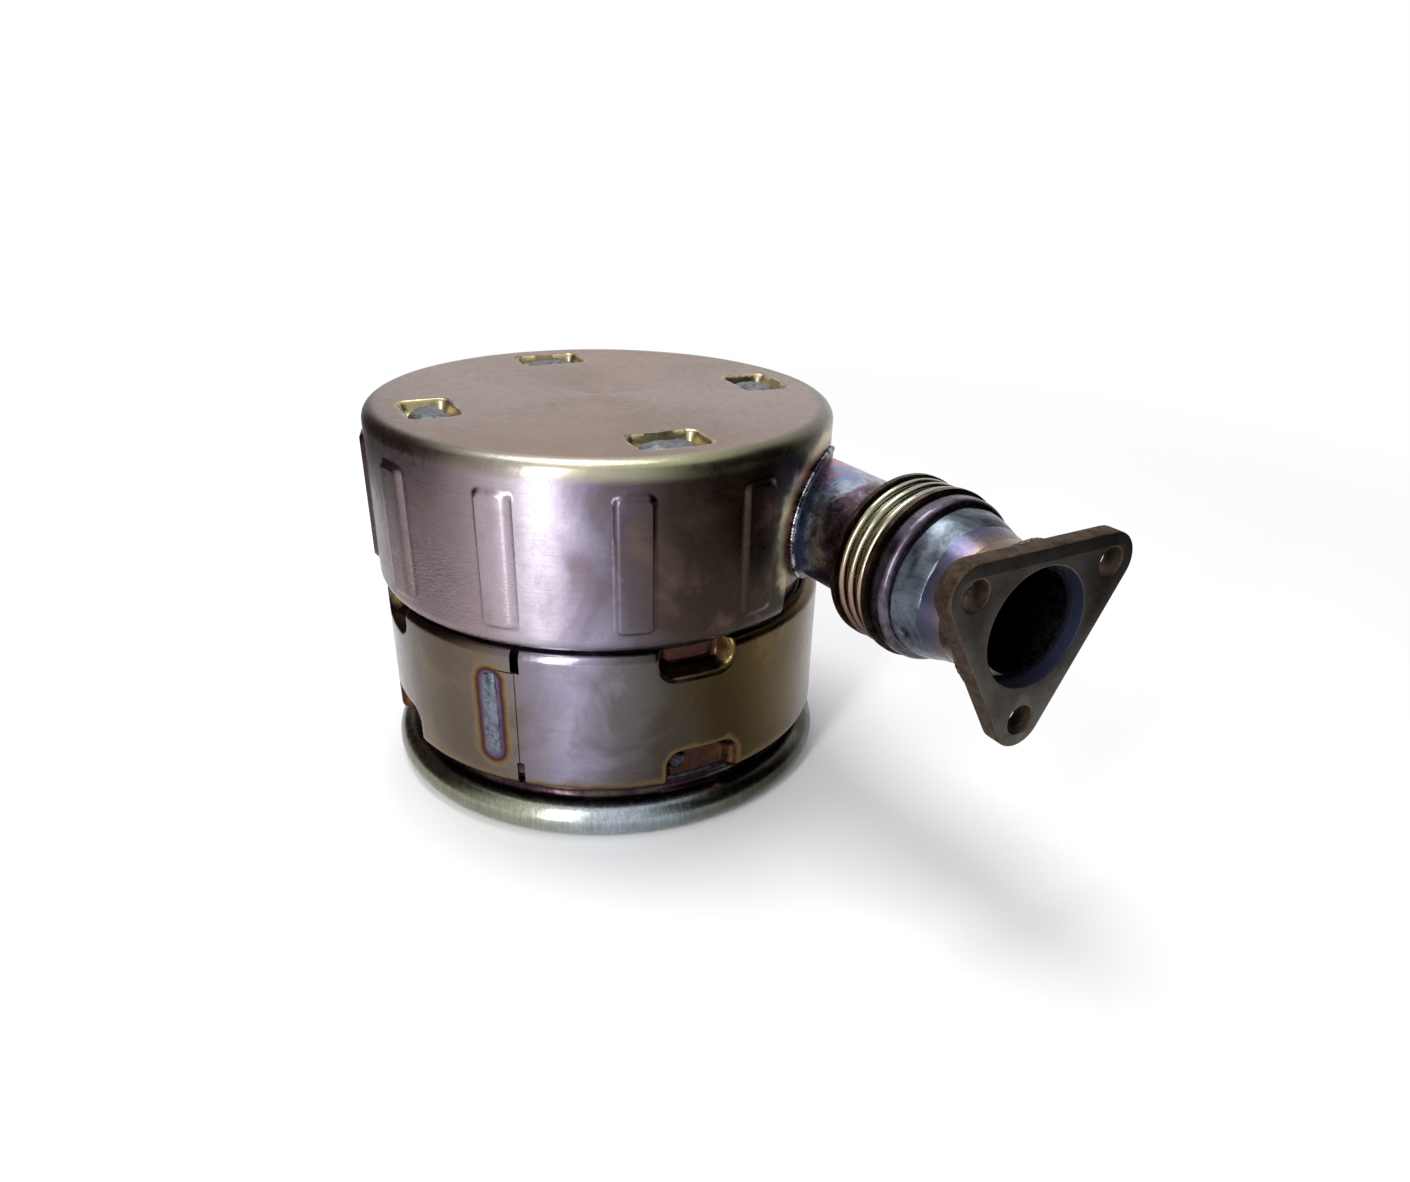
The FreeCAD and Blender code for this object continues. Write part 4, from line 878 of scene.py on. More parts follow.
def roughen(tree, geometry, given):
    """Push the surface in and out by noise, set the material and end the tree."""
    position = add(tree, "GeometryNodeInputPosition")
    normal = add(tree, "GeometryNodeInputNormal")
    scale = add(tree, "ShaderNodeMath", {1: given["Lump size"], 0: 1.0}, operation="DIVIDE")
    lumps = add(tree, "ShaderNodeTexNoise", {
        "Vector": position, "W": given["Seed"], "Scale": scale, "Detail": 3.0},
        noise_dimensions="4D")
    centred = add(tree, "ShaderNodeMath", {0: lumps, 1: 0.5}, operation="SUBTRACT")
    amount = add(tree, "ShaderNodeMath", {
        0: centred, 1: given["Unevenness"]}, operation="MULTIPLY")
    offset = add(tree, "ShaderNodeVectorMath", {0: normal, "Scale": amount}, operation="SCALE")
    moved = add(tree, "GeometryNodeSetPosition", {"Geometry": geometry, "Offset": offset})
    coated = add(tree, "GeometryNodeSetMaterial", {
        "Geometry": moved, "Material": given["Material"]})
    add(tree, "NodeGroupOutput", {"Geometry": coated})


def bead_tree():
    """Node tree that lays overlapping weld ripples along a path."""
    tree, given = weld_group(
        "weld_bead_on_path", ("Path", "Object", None), ("Ripple pitch", "Float", 0.0014),
        ("Width", "Float", 0.002), ("Unevenness", "Float", 0.0005),
        ("Lump size", "Float", 0.003), ("Seed", "Float", 1.0), ("Material", "Material", None))
    path = add(tree, "GeometryNodeObjectInfo", {"Object": given["Path"]})
    even = add(tree, "GeometryNodeResampleCurve", {
        "Curve": path.outputs["Geometry"], "Length": given["Ripple pitch"]}, mode="LENGTH")
    tangent = add(tree, "GeometryNodeInputTangent")
    facing = add(tree, "FunctionNodeAlignRotationToVector", {"Vector": tangent}, axis="X")
    drop = add(tree, "GeometryNodeMeshUVSphere", {"Segments": 16, "Rings": 10, "Radius": 1.0})
    long = add(tree, "ShaderNodeMath", {0: given["Ripple pitch"], 1: 1.25}, operation="MULTIPLY")
    wide = add(tree, "ShaderNodeCombineXYZ", {
        "X": long, "Y": given["Width"], "Z": given["Width"]})
    copies = add(tree, "GeometryNodeInstanceOnPoints", {
        "Points": even, "Instance": drop, "Rotation": facing, "Scale": wide})
    solid = add(tree, "GeometryNodeRealizeInstances", {"Geometry": copies})
    roughen(tree, solid, given)
    return tree


def run_tree(name, tree, values):
    """Run a node tree with its inputs set by name, and keep the plain mesh."""
    holder = new_piece(name, bpy.data.meshes.new(name))
    live = holder.modifiers.new("make", "NODES")
    live.node_group = tree
    for item in tree.interface.items_tree:
        if item.item_type == "SOCKET" and item.in_out == "INPUT" and item.name in values:
            live[item.identifier] = values[item.name]
    settle(holder)
    if not holder.data.polygons:
        raise RuntimeError(name + " came out empty")
    holder.data.shade_smooth()
    return holder


def puddle(name, long, wide, tall, seed):
    """Weld puddle: a low dome of stadium shape with an uneven outline."""
    rings, cols = 14, 64
    u = np.linspace(0, 2 * math.pi, cols, endpoint=False)[None, :]
    t = np.linspace(0.0, 1.0, rings)[:, None]
    edge = 1 + 0.07 * np.sin(3 * u + seed) + 0.05 * np.sin(5 * u + 2 * seed)
    fill = np.sin(t * math.pi / 2)
    spine = (long - wide) / 2 * np.clip(np.sin(u) * 2.2, -1, 1)
    x = wide / 2 * fill * edge * np.cos(u)
    y = spine * (0.35 + 0.65 * fill) + wide / 2 * fill * edge * np.sin(u)
    z = tall * np.cos(t * math.pi / 2) ** 0.7 + 0 * u
    y = y * smooth(0.0, 0.05, t)
    points = np.stack([x, y, z], axis=2)
    floor = np.stack([x[-1], y[-1], 0 * x[-1] - 0.0006], axis=1)[None]
    points = np.concatenate([points, floor, floor * np.array([0.5, 0.5, 1.0])])
    made = grid_mesh(name, points, pole=True)
    close_end(made)
    return new_piece(name, made)


def close_end(mesh):
    """Close the open last row of a round mesh with one face."""
    with opened(mesh) as work:
        rim = [e for e in work.edges if e.is_boundary]
        if rim:
            bmesh.ops.contextual_create(work, geom=rim)


def add_loop(data, points, cyclic=True):
    """Add a line of straight steps to a curve, through (x, y, z) points."""
    line = data.splines.new("POLY")
    line.points.add(len(points) - 1)
    for item, place in zip(line.points, points):
        item.co = (*place, 1.0)
    line.use_cyclic_u = cyclic


def path_curve(name, points, cyclic):
    """Hidden guide curve for a weld bead."""
    data = bpy.data.curves.new(name, "CURVE")
    data.dimensions = "3D"
    add_loop(data, points, cyclic)
    return new_piece(name, data)


def circle(radius, count, y=0.0, z=0.0):
    return [(y + radius * math.cos(a), z + radius * math.sin(a))
            for a in np.linspace(0, 2 * math.pi, count, endpoint=False)]


class CONVERTER_OT_plug_welds(bpy.types.Operator):
    """Plug welds in the top pockets and spot welds in the dimples"""
    bl_idname = "converter.plug_welds"
    bl_label = "Plug and spot welds"

    def execute(self, context):
        shield = context.scene.converter_shield
        band = context.scene.converter_band
        tree = weld_tree()
        cast = patched("mig_weld_metal")
        spot = patched("burnt_spot_weld")
        low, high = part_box("top_plug_welds")
        plug = puddle("plug_shape", 0.0240, 0.0160, 0.0040, 0.7)
        plugs = run_tree("pocket_plug_welds", tree, {
            "Shape": plug, "Count": 4, "Radius": shield.pocket_radius, "Height": low.z + PLUG_ROOT,
            "First angle": shield.pocket_first, "Unevenness": 0.0016, "Lump size": 0.0035,
            "Seed": 2.0, "Material": cast})
        bpy.data.objects.remove(plug)
        dress(plugs, "weld_bead", cast, "top_plug_welds")
        low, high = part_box("dimple_spot_welds")
        drop = puddle("spot_shape", 0.0080, 0.0079, 0.0024, 1.9)
        drop.data.transform(Matrix.Rotation(QUARTER, 4, "Y"))
        spots = run_tree("dimple_spots", tree, {
            "Shape": drop, "Count": 4, "Radius": band.press_floor, "Height": (low.z + high.z) / 2,
            "First angle": band.dimple_first - SPOT_LEAD, "Unevenness": 0.0007,
            "Lump size": 0.002, "Seed": 5.0, "Material": spot})
        bpy.data.objects.remove(drop)
        dress(spots, "weld_bead", spot, "dimple_spot_welds")
        return {"FINISHED"}


class CONVERTER_OT_seam_weld(bpy.types.Operator):
    """Long plug weld closing the lap seam"""
    bl_idname = "converter.seam_weld"
    bl_label = "Seam weld"

    def execute(self, context):
        band = context.scene.converter_band
        low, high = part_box("seam_plug_weld")
        shape = puddle("seam_weld", high.z - low.z - 0.0006, 0.0075, 0.0017, 4.4)
        places = vertex_array(shape.data)
        lumps = ripple(places, 0.0042, 2.2) * 0.0004 + ripple(places, 0.0017, 8.2) * 0.00016
        chevrons = np.sin(places[:, 1] / 0.0024 * 2 * math.pi
                          - np.abs(places[:, 0]) / 0.0016) * 0.0001
        places[:, 2] += np.where(places[:, 2] > 0, lumps + chevrons, 0)
        # the shape lies in X and Y with its face up: stand it on the band
        lifted = np.stack([places[:, 2] + BAND_RADIUS - 0.0010, places[:, 0],
                           places[:, 1] + (low.z + high.z) / 2], axis=1)
        shape.data.vertices.foreach_set("co", lifted.ravel())
        shape.data.transform(Matrix.Rotation(band.weld_angle, 4, "Z"))
        shape.data.update()
        shape.data.shade_smooth()
        dress(shape, "weld_bead", patched("blue_grey_seam_weld"), "seam_plug_weld")
        return {"FINISHED"}


class CONVERTER_OT_pipe_welds(bpy.types.Operator):
    """Rippled beads round the stub's opening and behind the flange"""
    bl_idname = "converter.pipe_welds"
    bl_label = "Pipe welds"

    def execute(self, context):
        shield = context.scene.converter_shield
        inlet = context.scene.converter_inlet
        tree = bead_tree()
        bright = patched("bright_weld_bead")
        brown = patched("brown_scaled_weld")
        half = shield.slot_half - 0.0003
        path = []
        for a in np.linspace(math.radians(-36), math.radians(216), 120):
            y, z = PIPE_Y + half * math.cos(a), PIPE_Z + half * math.sin(a)
            path.append((math.sqrt((SHIELD_RADIUS + 0.0005) ** 2 - y * y), y, z))
        guide = path_curve("arch_guide", path, False)
        arch = run_tree("opening_weld_bead", tree, {
            "Path": guide, "Ripple pitch": 0.0013, "Width": 0.00115, "Unevenness": 0.0007,
            "Lump size": 0.0022, "Seed": 3.0, "Material": bright})
        bpy.data.objects.remove(guide)
        dress(arch, "weld_bead", bright)
        back = FACE_X - inlet.plate
        ring = [(back - 0.0012, y, z)
                for y, z in circle(inlet.pipe + 0.0014, 120, PIPE_Y, PIPE_Z)]
        guide = path_curve("flange_guide", ring, True)
        fillet = run_tree("flange_fillet_weld", tree, {
            "Path": guide, "Ripple pitch": 0.0022, "Width": 0.0031, "Unevenness": 0.0014,
            "Lump size": 0.0045, "Seed": 6.0, "Material": brown})
        bpy.data.objects.remove(guide)
        cut_behind(fillet, back)
        dress(fillet, "neck_weld_metal", brown, "flange_weld")
        return {"FINISHED"}


def cut_behind(piece, plane):
    """Flatten what passes the flange's rear face onto it."""
    places = vertex_array(piece.data)
    places[:, 0] = np.minimum(places[:, 0], plane + 0.0002)
    piece.data.vertices.foreach_set("co", places.ravel())
    piece.data.update()


def turned_grid(name, profile, cols, shape=None):
    """Mesh turned round the inlet pipe's axis from (x, radius) points."""
    profile = np.array(profile)
    u = np.linspace(0, 2 * math.pi, cols, endpoint=False)[None, :]
    x = profile[:, 0][:, None] + 0 * u
    r = profile[:, 1][:, None] + 0 * u
    if shape is not None:
        x, r = shape(x, r, u)
    points = np.stack([x, PIPE_Y + r * np.cos(u), PIPE_Z + r * np.sin(u)], axis=2)
    return grid_mesh(name, points)


class CONVERTER_OT_neck_weld(bpy.types.Operator):
    """Broad uneven weld over the neck's flare, with its pit"""
    bl_idname = "converter.neck_weld"
    bl_label = "Neck weld"

    def execute(self, context):
        low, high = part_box("neck_weld")
        wide = (high.z - low.z) / 2
        start, end = low.x, high.x
        profile = [(start - 0.0002, wide - 0.0026)]
        count = 44
        for k in range(count + 1):
            t = k / count
            x = start + (end - start) * t
            crown = 0.0004 * math.sin(math.pi * t)
            r = (wide - 0.0004) * (1 - t) + NECK_THIN * t + crown
            if t > 0.85:
                r -= 0.0016 * ((t - 0.85) / 0.15) ** 2
            if t < 0.08:
                r -= 0.0008 * ((0.08 - t) / 0.08) ** 2
            profile.append((x, r))
        profile.append((end - 0.0004, NECK_THIN - 0.0034))

        def lumps(x, r, u):
            flat = np.roll(round_points(r, u, x), 1, axis=2).reshape(-1, 3)
            rough = (ripple(flat, 0.013, 4.0) * 0.0006 + ripple(flat, 0.006, 7.0) * 0.00018
                     + ripple(flat, 0.0022, 1.0) * 0.00005).reshape(x.shape)
            swirl = ripple(flat * np.array([1.0, 0.35, 0.35]), 0.004, 2.5)
            swirl = swirl.reshape(x.shape) * 0.0002
            inner = (np.arange(x.shape[0])[:, None] % (x.shape[0] - 1)) == 0
            pit = np.exp(-(((x - start - 0.0045) / 0.0016) ** 2
                           + (wrapped(u - math.radians(205)) * wide / 0.0016) ** 2)) * 0.0016
            down = np.minimum(rough + swirl - 0.0004, 0.0) - pit
            return x, r + np.where(inner, 0, down)

        name = "neck_weld_overlay"
        weld = new_piece(name, turned_grid(name, profile[::-1], 220, lumps))
        bridge(weld.data)
        weld.data.shade_smooth()
        dress(weld, "neck_weld_metal", patched("swirled_weld_metal"), "neck_weld")
        return {"FINISHED"}


def bridge(mesh):
    """Join a turned sheet's two open rims inside the pipe wall."""
    with opened(mesh) as work:
        bmesh.ops.bridge_loops(work, edges=[e for e in work.edges if e.is_boundary])


class CONVERTER_OT_flange(bpy.types.Operator):
    """Three-cornered inlet flange with eased edges and machined bore"""
    bl_idname = "converter.flange"
    bl_label = "Inlet flange"

    def execute(self, context):
        inlet = context.scene.converter_inlet
        ease = 0.0007
        data = bpy.data.curves.new("plate_outline", "CURVE")
        data.dimensions = "2D"
        data.fill_mode = "BOTH"
        data.extrude = inlet.plate / 2 - ease
        data.bevel_depth = ease
        data.bevel_resolution = 3
        data.offset = -ease
        corners = [math.radians(a) for a in (-90, 30, 150)]
        middles = [(inlet.bolt_circle * math.cos(a), inlet.bolt_circle * math.sin(a))
                   for a in corners]
        outline = [(y + inlet.corner * math.cos(a + step), z + inlet.corner * math.sin(a + step))
                   for a, (y, z) in zip(corners, middles)
                   for step in np.linspace(-math.pi / 3, math.pi / 3, 17)]
        holes = [circle(inlet.hole, 40, y, z) for y, z in middles]
        for points in [outline, *holes, circle(inlet.bore, 128)]:
            add_loop(data, [(y, z, 0) for y, z in points])
        plate = new_piece("inlet_plate", data)
        plate = settle(plate)
        # the curve lies in X and Y: turn it to face +X at its place on the pipe
        turned = Matrix(((0, 0, 1, FACE_X - inlet.plate / 2), (1, 0, 0, PIPE_Y),
                         (0, 1, 0, PIPE_Z), (0, 0, 0, 1)))
        plate.data.transform(turned)
        with opened(plate.data) as work:
            bmesh.ops.remove_doubles(work, verts=work.verts, dist=0.00002)
        deep = FACE_X - inlet.bore_depth
        step = inlet.bore - 0.001
        back, buried = FACE_X - inlet.plate + 0.0002, inlet.bore + 0.0003
        ring = [(deep, buried), (deep, step + 0.0001), (deep - 0.0002, step), (back, step),
                (back, buried)]
        seat = turned_grid("bore_step", ring, 128)
        bridge(seat)
        join_mesh(plate, seat)
        sharpen(plate.data, 40)
        dress(plate, "flange_plate", flange_material(), "inlet_flange")
        return {"FINISHED"}


def join_mesh(piece, extra):
    """Add another mesh to a piece."""
    with opened(piece.data, outward=False) as work:
        work.from_mesh(extra)
    bpy.data.meshes.remove(extra)


# ------------------------------------------------------------- finishes

def flange_material():
    """Milled plate: taupe-grey machined faces and rust-brown sawn edges.

    The faces keep a fine milled lay; the edges and hole walls are as the saw
    and drill left them, with thin rust.
    """
    made, tree = begin("milled_rusted_plate")
    where = add(tree, "ShaderNodeTexCoord").outputs["Object"]
    facing = add(tree, "ShaderNodeNewGeometry")
    split = add(tree, "ShaderNodeSeparateXYZ", {"Vector": facing.outputs["True Normal"]})
    flat = add(tree, "ShaderNodeMath", {0: split.outputs["X"]}, operation="ABSOLUTE")
    onface = add(tree, "ShaderNodeMapRange", {
        "Value": flat, "From Min": 0.6, "From Max": 0.95}, interpolation_type="SMOOTHSTEP")
    cloud = add(tree, "ShaderNodeTexNoise", {
        "Vector": where, "Scale": 60.0, "Detail": 6.0, "Roughness": 0.6})
    face = add(tree, "ShaderNodeValToRGB", {
        "Fac": cloud}, ramp=[(0.3, "#453f36"), (0.5, "#56514b"), (0.62, "#5c5853"),
        (0.75, "#4c4437")])
    rust = add(tree, "ShaderNodeTexNoise", {
        "Vector": where, "Scale": 220.0, "Detail": 6.0, "Roughness": 0.65, "Distortion": 0.8})
    edge = add(tree, "ShaderNodeValToRGB", {
        "Fac": rust}, ramp=[(0.3, "#28201a"), (0.44, "#3d3229"), (0.55, "#4c3e32"),
        (0.66, "#4c4339"), (0.8, "#786f64")])
    from_axis = add(tree, "ShaderNodeVectorMath", {
        0: where, 1: (0.0, PIPE_Y, PIPE_Z)}, operation="SUBTRACT")
    radius = axis_distance(tree, from_axis, (0, 1, 1))
    outside = add(tree, "ShaderNodeMath", {0: radius, 1: BORE_EDGE}, operation="GREATER_THAN")
    # the bore is turned, and the exhaust has blued it
    wall = add(tree, "ShaderNodeMix", {
        "Factor": outside, "B": edge, "A": colour("#32364a")}, data_type="RGBA")
    base = add(tree, "ShaderNodeMix", {"Factor": onface, "A": wall, "B": face}, data_type="RGBA")
    stretch = add(tree, "ShaderNodeMapping", {"Vector": where, "Scale": (300, 900, 160)})
    lay = add(tree, "ShaderNodeTexNoise", {"Vector": stretch, "Scale": 1.0, "Detail": 3.0})
    rough = add(tree, "ShaderNodeMapRange", {"Value": onface, "To Min": 0.62, "To Max": 0.4})
    varied = add(tree, "ShaderNodeMath", {0: lay, 2: rough, 1: 0.16}, operation="MULTIPLY_ADD")
    pitted = add(tree, "ShaderNodeBump", {"Height": rust, "Strength": 0.35, "Distance": 0.0004})
    lined = add(tree, "ShaderNodeBump", {
        "Height": lay, "Normal": pitted, "Strength": 0.15, "Distance": 0.0002})
    surface(tree, {"Metallic": 1.0, "Base Color": base, "Roughness": varied, "Normal": lined})
    return made


class CONVERTER_OT_cad_finish(bpy.types.Operator):
    """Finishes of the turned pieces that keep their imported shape"""
    bl_idname = "converter.cad_finish"
    bl_label = "Turned pieces' finishes"

    def execute(self, context):
        # heat has run along the stub: straw, copper, violet and blue bands
        tube = pipe_steel("heat_banded_tube", [
            (0.0, "#7a6f6c"), (0.3, "#8d7c92"), (0.4, "#a88ca8"), (0.48, "#9c6a58"),
            (0.56, "#a87c98"), (0.64, "#7480a8"), (0.72, "#9aa4b0"), (0.8, "#6c5868"),
            (0.88, "#40343a"), (0.94, "#7c6450"), (1.0, "#5c4c42")],
            "inlet_stub", 0.3, swirl=0.3, bump=0.03)
        # thin drawn bellows sheet: gold tinted, pale at its top and brown towards its underside,
        # the darkening below partly painted shade
        bellows_tint_and_shade = pipe_steel("gold_tinted_bellows_sheet", [
            (0.0, "#4a3a32"), (0.25, "#6e584c"), (0.45, "#8a7264"), (0.62, "#8c826e"),
            (0.8, "#a5a28c"), (1.0, "#9c9c8c")], "bellows", 0.2, swirl=0.12, bump=0.04, axis="Z")
        # the neck is blue on the drum's side and straw towards the flange
        blue = pipe_steel("blue_tinted_neck", [
            (0.0, "#3e3c4c"), (0.4, "#44465a"), (0.55, "#554c5c"), (0.68, "#6c5c50"),
            (0.8, "#7a6a54"), (1.0, "#4c4032")], "inlet_neck", 0.28, bump=0.1)
        # the liner is heat-blued, with faint turned rings; it is painted near-black deep in the
        # pipe as shade and paler at its mouth as a painted highlight
        inner = pipe_steel("blued_flow_sleeve", [
            (0.0, "#1c1d28"), (0.7, "#2c2f40"), (0.9, "#4b4a5c"), (1.0, "#6a6468")],
            "flow_sleeve", 0.24, swirl=0.05, bump=0.1, rings=0.2)
        # the outlet's rolled bead is brushed round the drum; its ramp across the view paints a
        # pale highlight in the middle and shade towards the inlet side, over its olive tint
        bead = drum_steel("rolled_outlet_bead", [
            (0.0, "#6c675b"), (0.2, "#85856f"), (0.36, "#a0a597"), (0.5, "#a9b3bd"),
            (0.62, "#8b979c"), (0.76, "#5b5c50"), (0.88, "#3a362c"), (1.0, "#2b2720")],
            "#757a6a", SHEET_HEAT, 0.24, grain=(900, 900, 30), dent=0.08, extra=root_scale_and_shade,
            streak=0.2)
        rim, dull = patched("black_oxide_collar"), patched("scaled_inner_shell")
        finishes = {
            "bead_steel": bead, "inner_steel": dull, "weld_bead": patched("mig_weld_metal"),
            "neck_weld_metal": patched("brown_scaled_weld"), "stub_steel": tube,
            "collar_steel": rim, "bellows_steel": bellows_tint_and_shade,
            "shoulder_steel": patched("violet_tinted_shoulder"), "neck_steel": blue,
            "sleeve_steel": inner, "flange_plate": rim, "brick_ceramic": honeycomb_material(),
            "mat_fibre": patched("ceramic_fibre_mat"), "wire_seal": patched("knitted_steel_wire"),
            "shield_steel": dull, "band_steel": dull,
        }
        slots = {part["node"]: part["material_slot"] for part in frame["record"]["subparts"]}
        for name, node in frame["nodes"].items():
            node.data.materials.clear()
            node.data.materials.append(finishes[slots[name]])
        return {"FINISHED"}


def root_scale_and_shade(tree, where, base):
    """Darken the bend under the band, where the heat scaled it brown and violet; the darkening is
    also painted shade under the band.
    """
    radius = axis_distance(tree, where, (1, 1, 0))
    root = add(tree, "ShaderNodeMapRange", {
        "Value": radius, "From Min": 0.0958, "From Max": 0.0925},
        interpolation_type="SMOOTHSTEP")
    return add(tree, "ShaderNodeMix", {
        "Factor": root, "A": base, "B": colour("#33242a")}, data_type="RGBA")


def honeycomb_material():
    """Cordierite brick: square cells 1.3 mm apart, matte walls, channels painted near-black as
    shade.
    """
    made, tree = begin("cordierite_honeycomb")
    where = add(tree, "ShaderNodeTexCoord").outputs["Object"]
    split = add(tree, "ShaderNodeSeparateXYZ", {"Vector": where})
    lines = []
    for axis in ("X", "Y"):
        scaled = add(tree, "ShaderNodeMath", {
            0: split.outputs[axis], 1: 1 / 0.0013}, operation="MULTIPLY")
        cell = add(tree, "ShaderNodeMath", {0: scaled}, operation="FRACT")
        centred = add(tree, "ShaderNodeMath", {0: cell, 1: 0.5}, operation="SUBTRACT")
        lines.append(add(tree, "ShaderNodeMath", {0: centred}, operation="ABSOLUTE"))
    wall = add(tree, "ShaderNodeMath", {
        0: lines[0].outputs["Value"], 1: lines[1].outputs["Value"]}, operation="MAXIMUM")
    solid = add(tree, "ShaderNodeMapRange", {
        "Value": wall, "From Min": 0.34, "From Max": 0.42}, interpolation_type="SMOOTHSTEP")
    stain = add(tree, "ShaderNodeTexNoise", {"Vector": where, "Scale": 35.0, "Detail": 4.0})
    tone = add(tree, "ShaderNodeValToRGB", {
        "Fac": stain}, ramp=[(0.3, "#7a6f60"), (0.6, "#978b78"), (0.8, "#867866")])
    # the near-black between the walls is painted shade for the open channels
    base = add(tree, "ShaderNodeMix", {
        "Factor": solid, "B": tone, "A": colour("#14110f")}, data_type="RGBA")
    raised = add(tree, "ShaderNodeBump", {"Height": solid, "Strength": 0.8, "Distance": 0.0005})
    surface(tree, {"Roughness": 0.85, "Base Color": base, "Normal": raised})
    return made


# ------------------------------------------------------------- stage

class CONVERTER_OT_stage(bpy.types.Operator):
    """Floor, lights, world and camera"""
    bl_idname = "converter.stage"
    bl_label = "Stage"

    def execute(self, context):
        settings = context.scene.converter_stage
        build_floor(settings)
        build_world(context.scene)
        build_lights()
        build_camera(context.scene, settings)
        return {"FINISHED"}


def around(degrees, distance, height):
    """Place in the studio, by the angle right of the camera's side."""
    a = math.radians(degrees) + CAMERA_TURN
    return Vector((distance * math.cos(a), distance * math.sin(a), height))


def build_floor(settings):
    """Pale floor that fades into the backdrop well away from the object."""
    made = bpy.data.meshes.new("studio_floor")
    size = 6.0
    made.from_pydata([(-size, -size, 0), (size, -size, 0), (size, size, 0), (-size, size, 0)],
                     [], [(0, 1, 2, 3)])
    floor = new_piece("studio_floor", made)
    material, tree = begin("matt_studio_floor")
    where = add(tree, "ShaderNodeTexCoord")
    far = add(tree, "ShaderNodeVectorMath", {0: where.outputs["Object"]}, operation="LENGTH")
    fade = add(tree, "ShaderNodeMapRange", {
        "Value": far, "From Min": 0.35, "From Max": 0.95}, interpolation_type="SMOOTHSTEP")
    paint = add(tree, "ShaderNodeBsdfDiffuse", {"Color": colour(settings.floor_colour)})
    mixed_surface(tree, fade, paint, add(tree, "ShaderNodeBsdfTransparent"))
    made.materials.append(material)


def build_world(scene):
    """White room for the eye, metal and glass; softer light for the rest."""
    world = bpy.data.worlds.new("studio_world")
    scene.world = world
    world.use_nodes = True
    tree = world.node_tree
    tree.nodes.clear()
    rays = add(tree, "ShaderNodeLightPath")
    seen = add(tree, "ShaderNodeMath", {
        0: rays.outputs["Is Camera Ray"], 1: rays.outputs["Is Glossy Ray"]}, operation="MAXIMUM")
    seen = add(tree, "ShaderNodeMath", {
        0: seen, 1: rays.outputs["Is Transmission Ray"]}, operation="MAXIMUM")
    light = add(tree, "ShaderNodeBackground", {"Color": (1, 1, 1, 1), "Strength": 0.62})
    white = add(tree, "ShaderNodeBackground", {"Color": (1, 1, 1, 1), "Strength": 1.0})
    mixed_surface(tree, seen, light, white, "ShaderNodeOutputWorld")


def build_lights():
    """Key from behind on the left, and a narrow strip that streaks the steel."""
    target = Vector((0.03, 0.0, 0.09))
    lamps = [("key_softbox", around(-148, 0.35, 1.55), 0.75, 0.75, 14.0),
             ("strip_softbox", around(-26, 0.75, 0.36), 0.1, 0.8, 4.6)]
    for name, place, wide, tall, power in lamps:
        lamp = bpy.data.lights.new(name, "AREA")
        lamp.shape = "RECTANGLE"
        lamp.size, lamp.size_y = wide, tall
        lamp.energy = power
        made = new_piece(name, lamp)
        made.location = place
        made.rotation_euler = (target - place).to_track_quat("-Z", "Y").to_euler()
    flag("right_flag", 6, 125, 0.42, 0.6, "#15110e")
    flag("left_flag", -165, -50, 0.46, 0.6, "#423638")


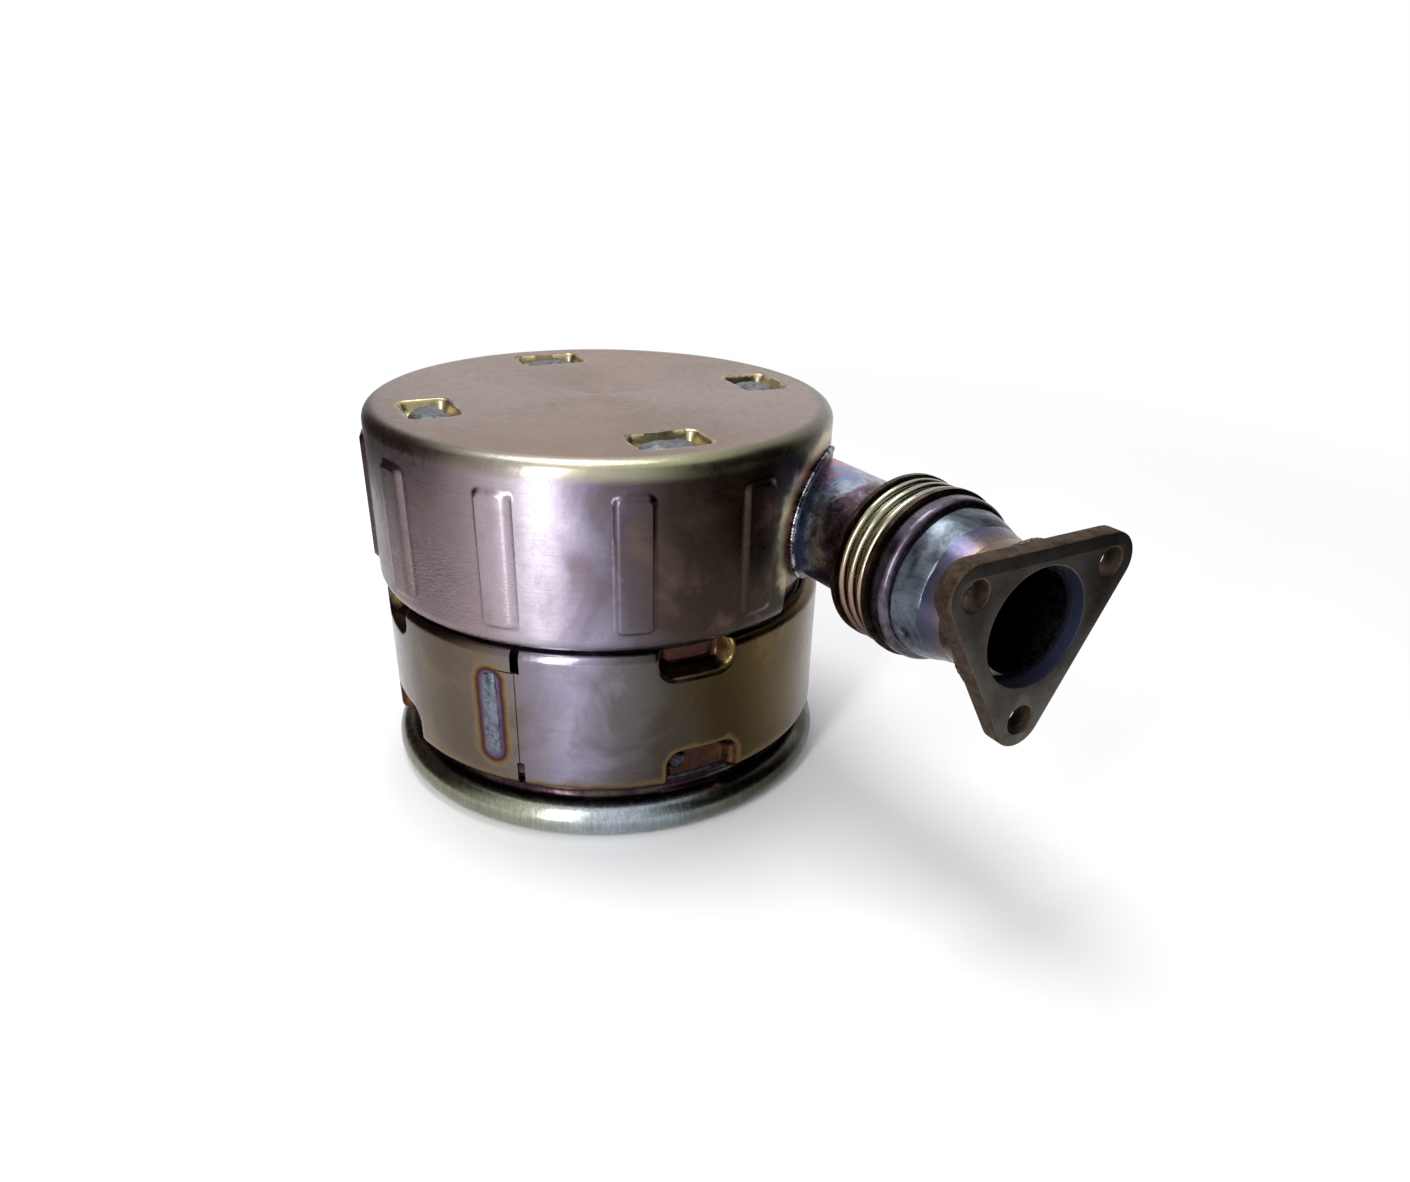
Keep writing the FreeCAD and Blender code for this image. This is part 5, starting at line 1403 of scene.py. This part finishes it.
def flag(name, start, end, distance, height, value):
    """Curved dark card beside the object that only its reflections see."""
    steps = 24
    vertices, faces = [], []
    for k in range(steps + 1):
        a = start + (end - start) * k / steps
        low = around(a, distance, 0.001)
        vertices += [tuple(low), (low.x, low.y, height)]
    for k in range(steps):
        faces.append((2 * k, 2 * k + 2, 2 * k + 3, 2 * k + 1))
    made = bpy.data.meshes.new(name)
    made.from_pydata(vertices, [], faces)
    layer = made.attributes.new("fade", "FLOAT", "POINT")
    for k in range(steps + 1):
        soft = float(smooth(0.0, 0.3, k / steps) * smooth(0.0, 0.3, 1 - k / steps))
        layer.data[2 * k].value = layer.data[2 * k + 1].value = soft
    card = new_piece(name, made)
    material, tree = begin(name + "_card")
    soft = add(tree, "ShaderNodeAttribute", attribute_name="fade")
    glow = add(tree, "ShaderNodeEmission", {"Color": colour(value), "Strength": 1.0})
    mixed_surface(tree, soft.outputs["Fac"], add(tree, "ShaderNodeBsdfTransparent"), glow)
    made.materials.append(material)
    for ray in ("camera", "diffuse", "shadow", "transmission"):
        setattr(card, "visible_" + ray, False)


def build_camera(scene, settings):
    lens = bpy.data.cameras.new("studio_camera")
    lens.sensor_fit = "HORIZONTAL"
    lens.sensor_width = 36.0
    lens.lens = settings.focal
    lens.shift_x, lens.shift_y = CAMERA_SHIFT
    lens.clip_start = 0.02
    made = new_piece("studio_camera", lens)
    made.matrix_world = Matrix(CAMERA_PLACE)
    scene.camera = made
    scene.view_settings.view_transform = "Standard"


# ------------------------------------------------------------- add-on

class CONVERTER_PT_panel(bpy.types.Panel):
    """Lists the converter's pieces"""
    bl_idname = "CONVERTER_PT_panel"
    bl_label = "Catalytic converter"
    bl_space_type = "VIEW_3D"
    bl_region_type = "UI"
    bl_category = "Converter"

    def draw(self, context):
        for operator in OPERATORS:
            self.layout.operator(operator.bl_idname)


GROUPS = {"converter_shield": ShieldSettings, "converter_band": BandSettings,
          "converter_inlet": InletSettings, "converter_stage": ConverterStage}
OPERATORS = [CONVERTER_OT_cad_finish, CONVERTER_OT_upper_shield, CONVERTER_OT_band,
             CONVERTER_OT_plug_welds, CONVERTER_OT_seam_weld, CONVERTER_OT_pipe_welds,
             CONVERTER_OT_neck_weld, CONVERTER_OT_flange, CONVERTER_OT_stage]


def register():
    for item in list(GROUPS.values()) + OPERATORS + [CONVERTER_PT_panel]:
        bpy.utils.register_class(item)
    for name, group in GROUPS.items():
        setattr(bpy.types.Scene, name, bpy.props.PointerProperty(type=group))


def unregister():
    for name in GROUPS:
        delattr(bpy.types.Scene, name)
    for item in reversed(list(GROUPS.values()) + OPERATORS + [CONVERTER_PT_panel]):
        bpy.utils.unregister_class(item)


def main():
    register()
    for operator in OPERATORS:
        group, name = operator.bl_idname.split(".")
        getattr(getattr(bpy.ops, group), name)()


if __name__ == "__main__":
    main()
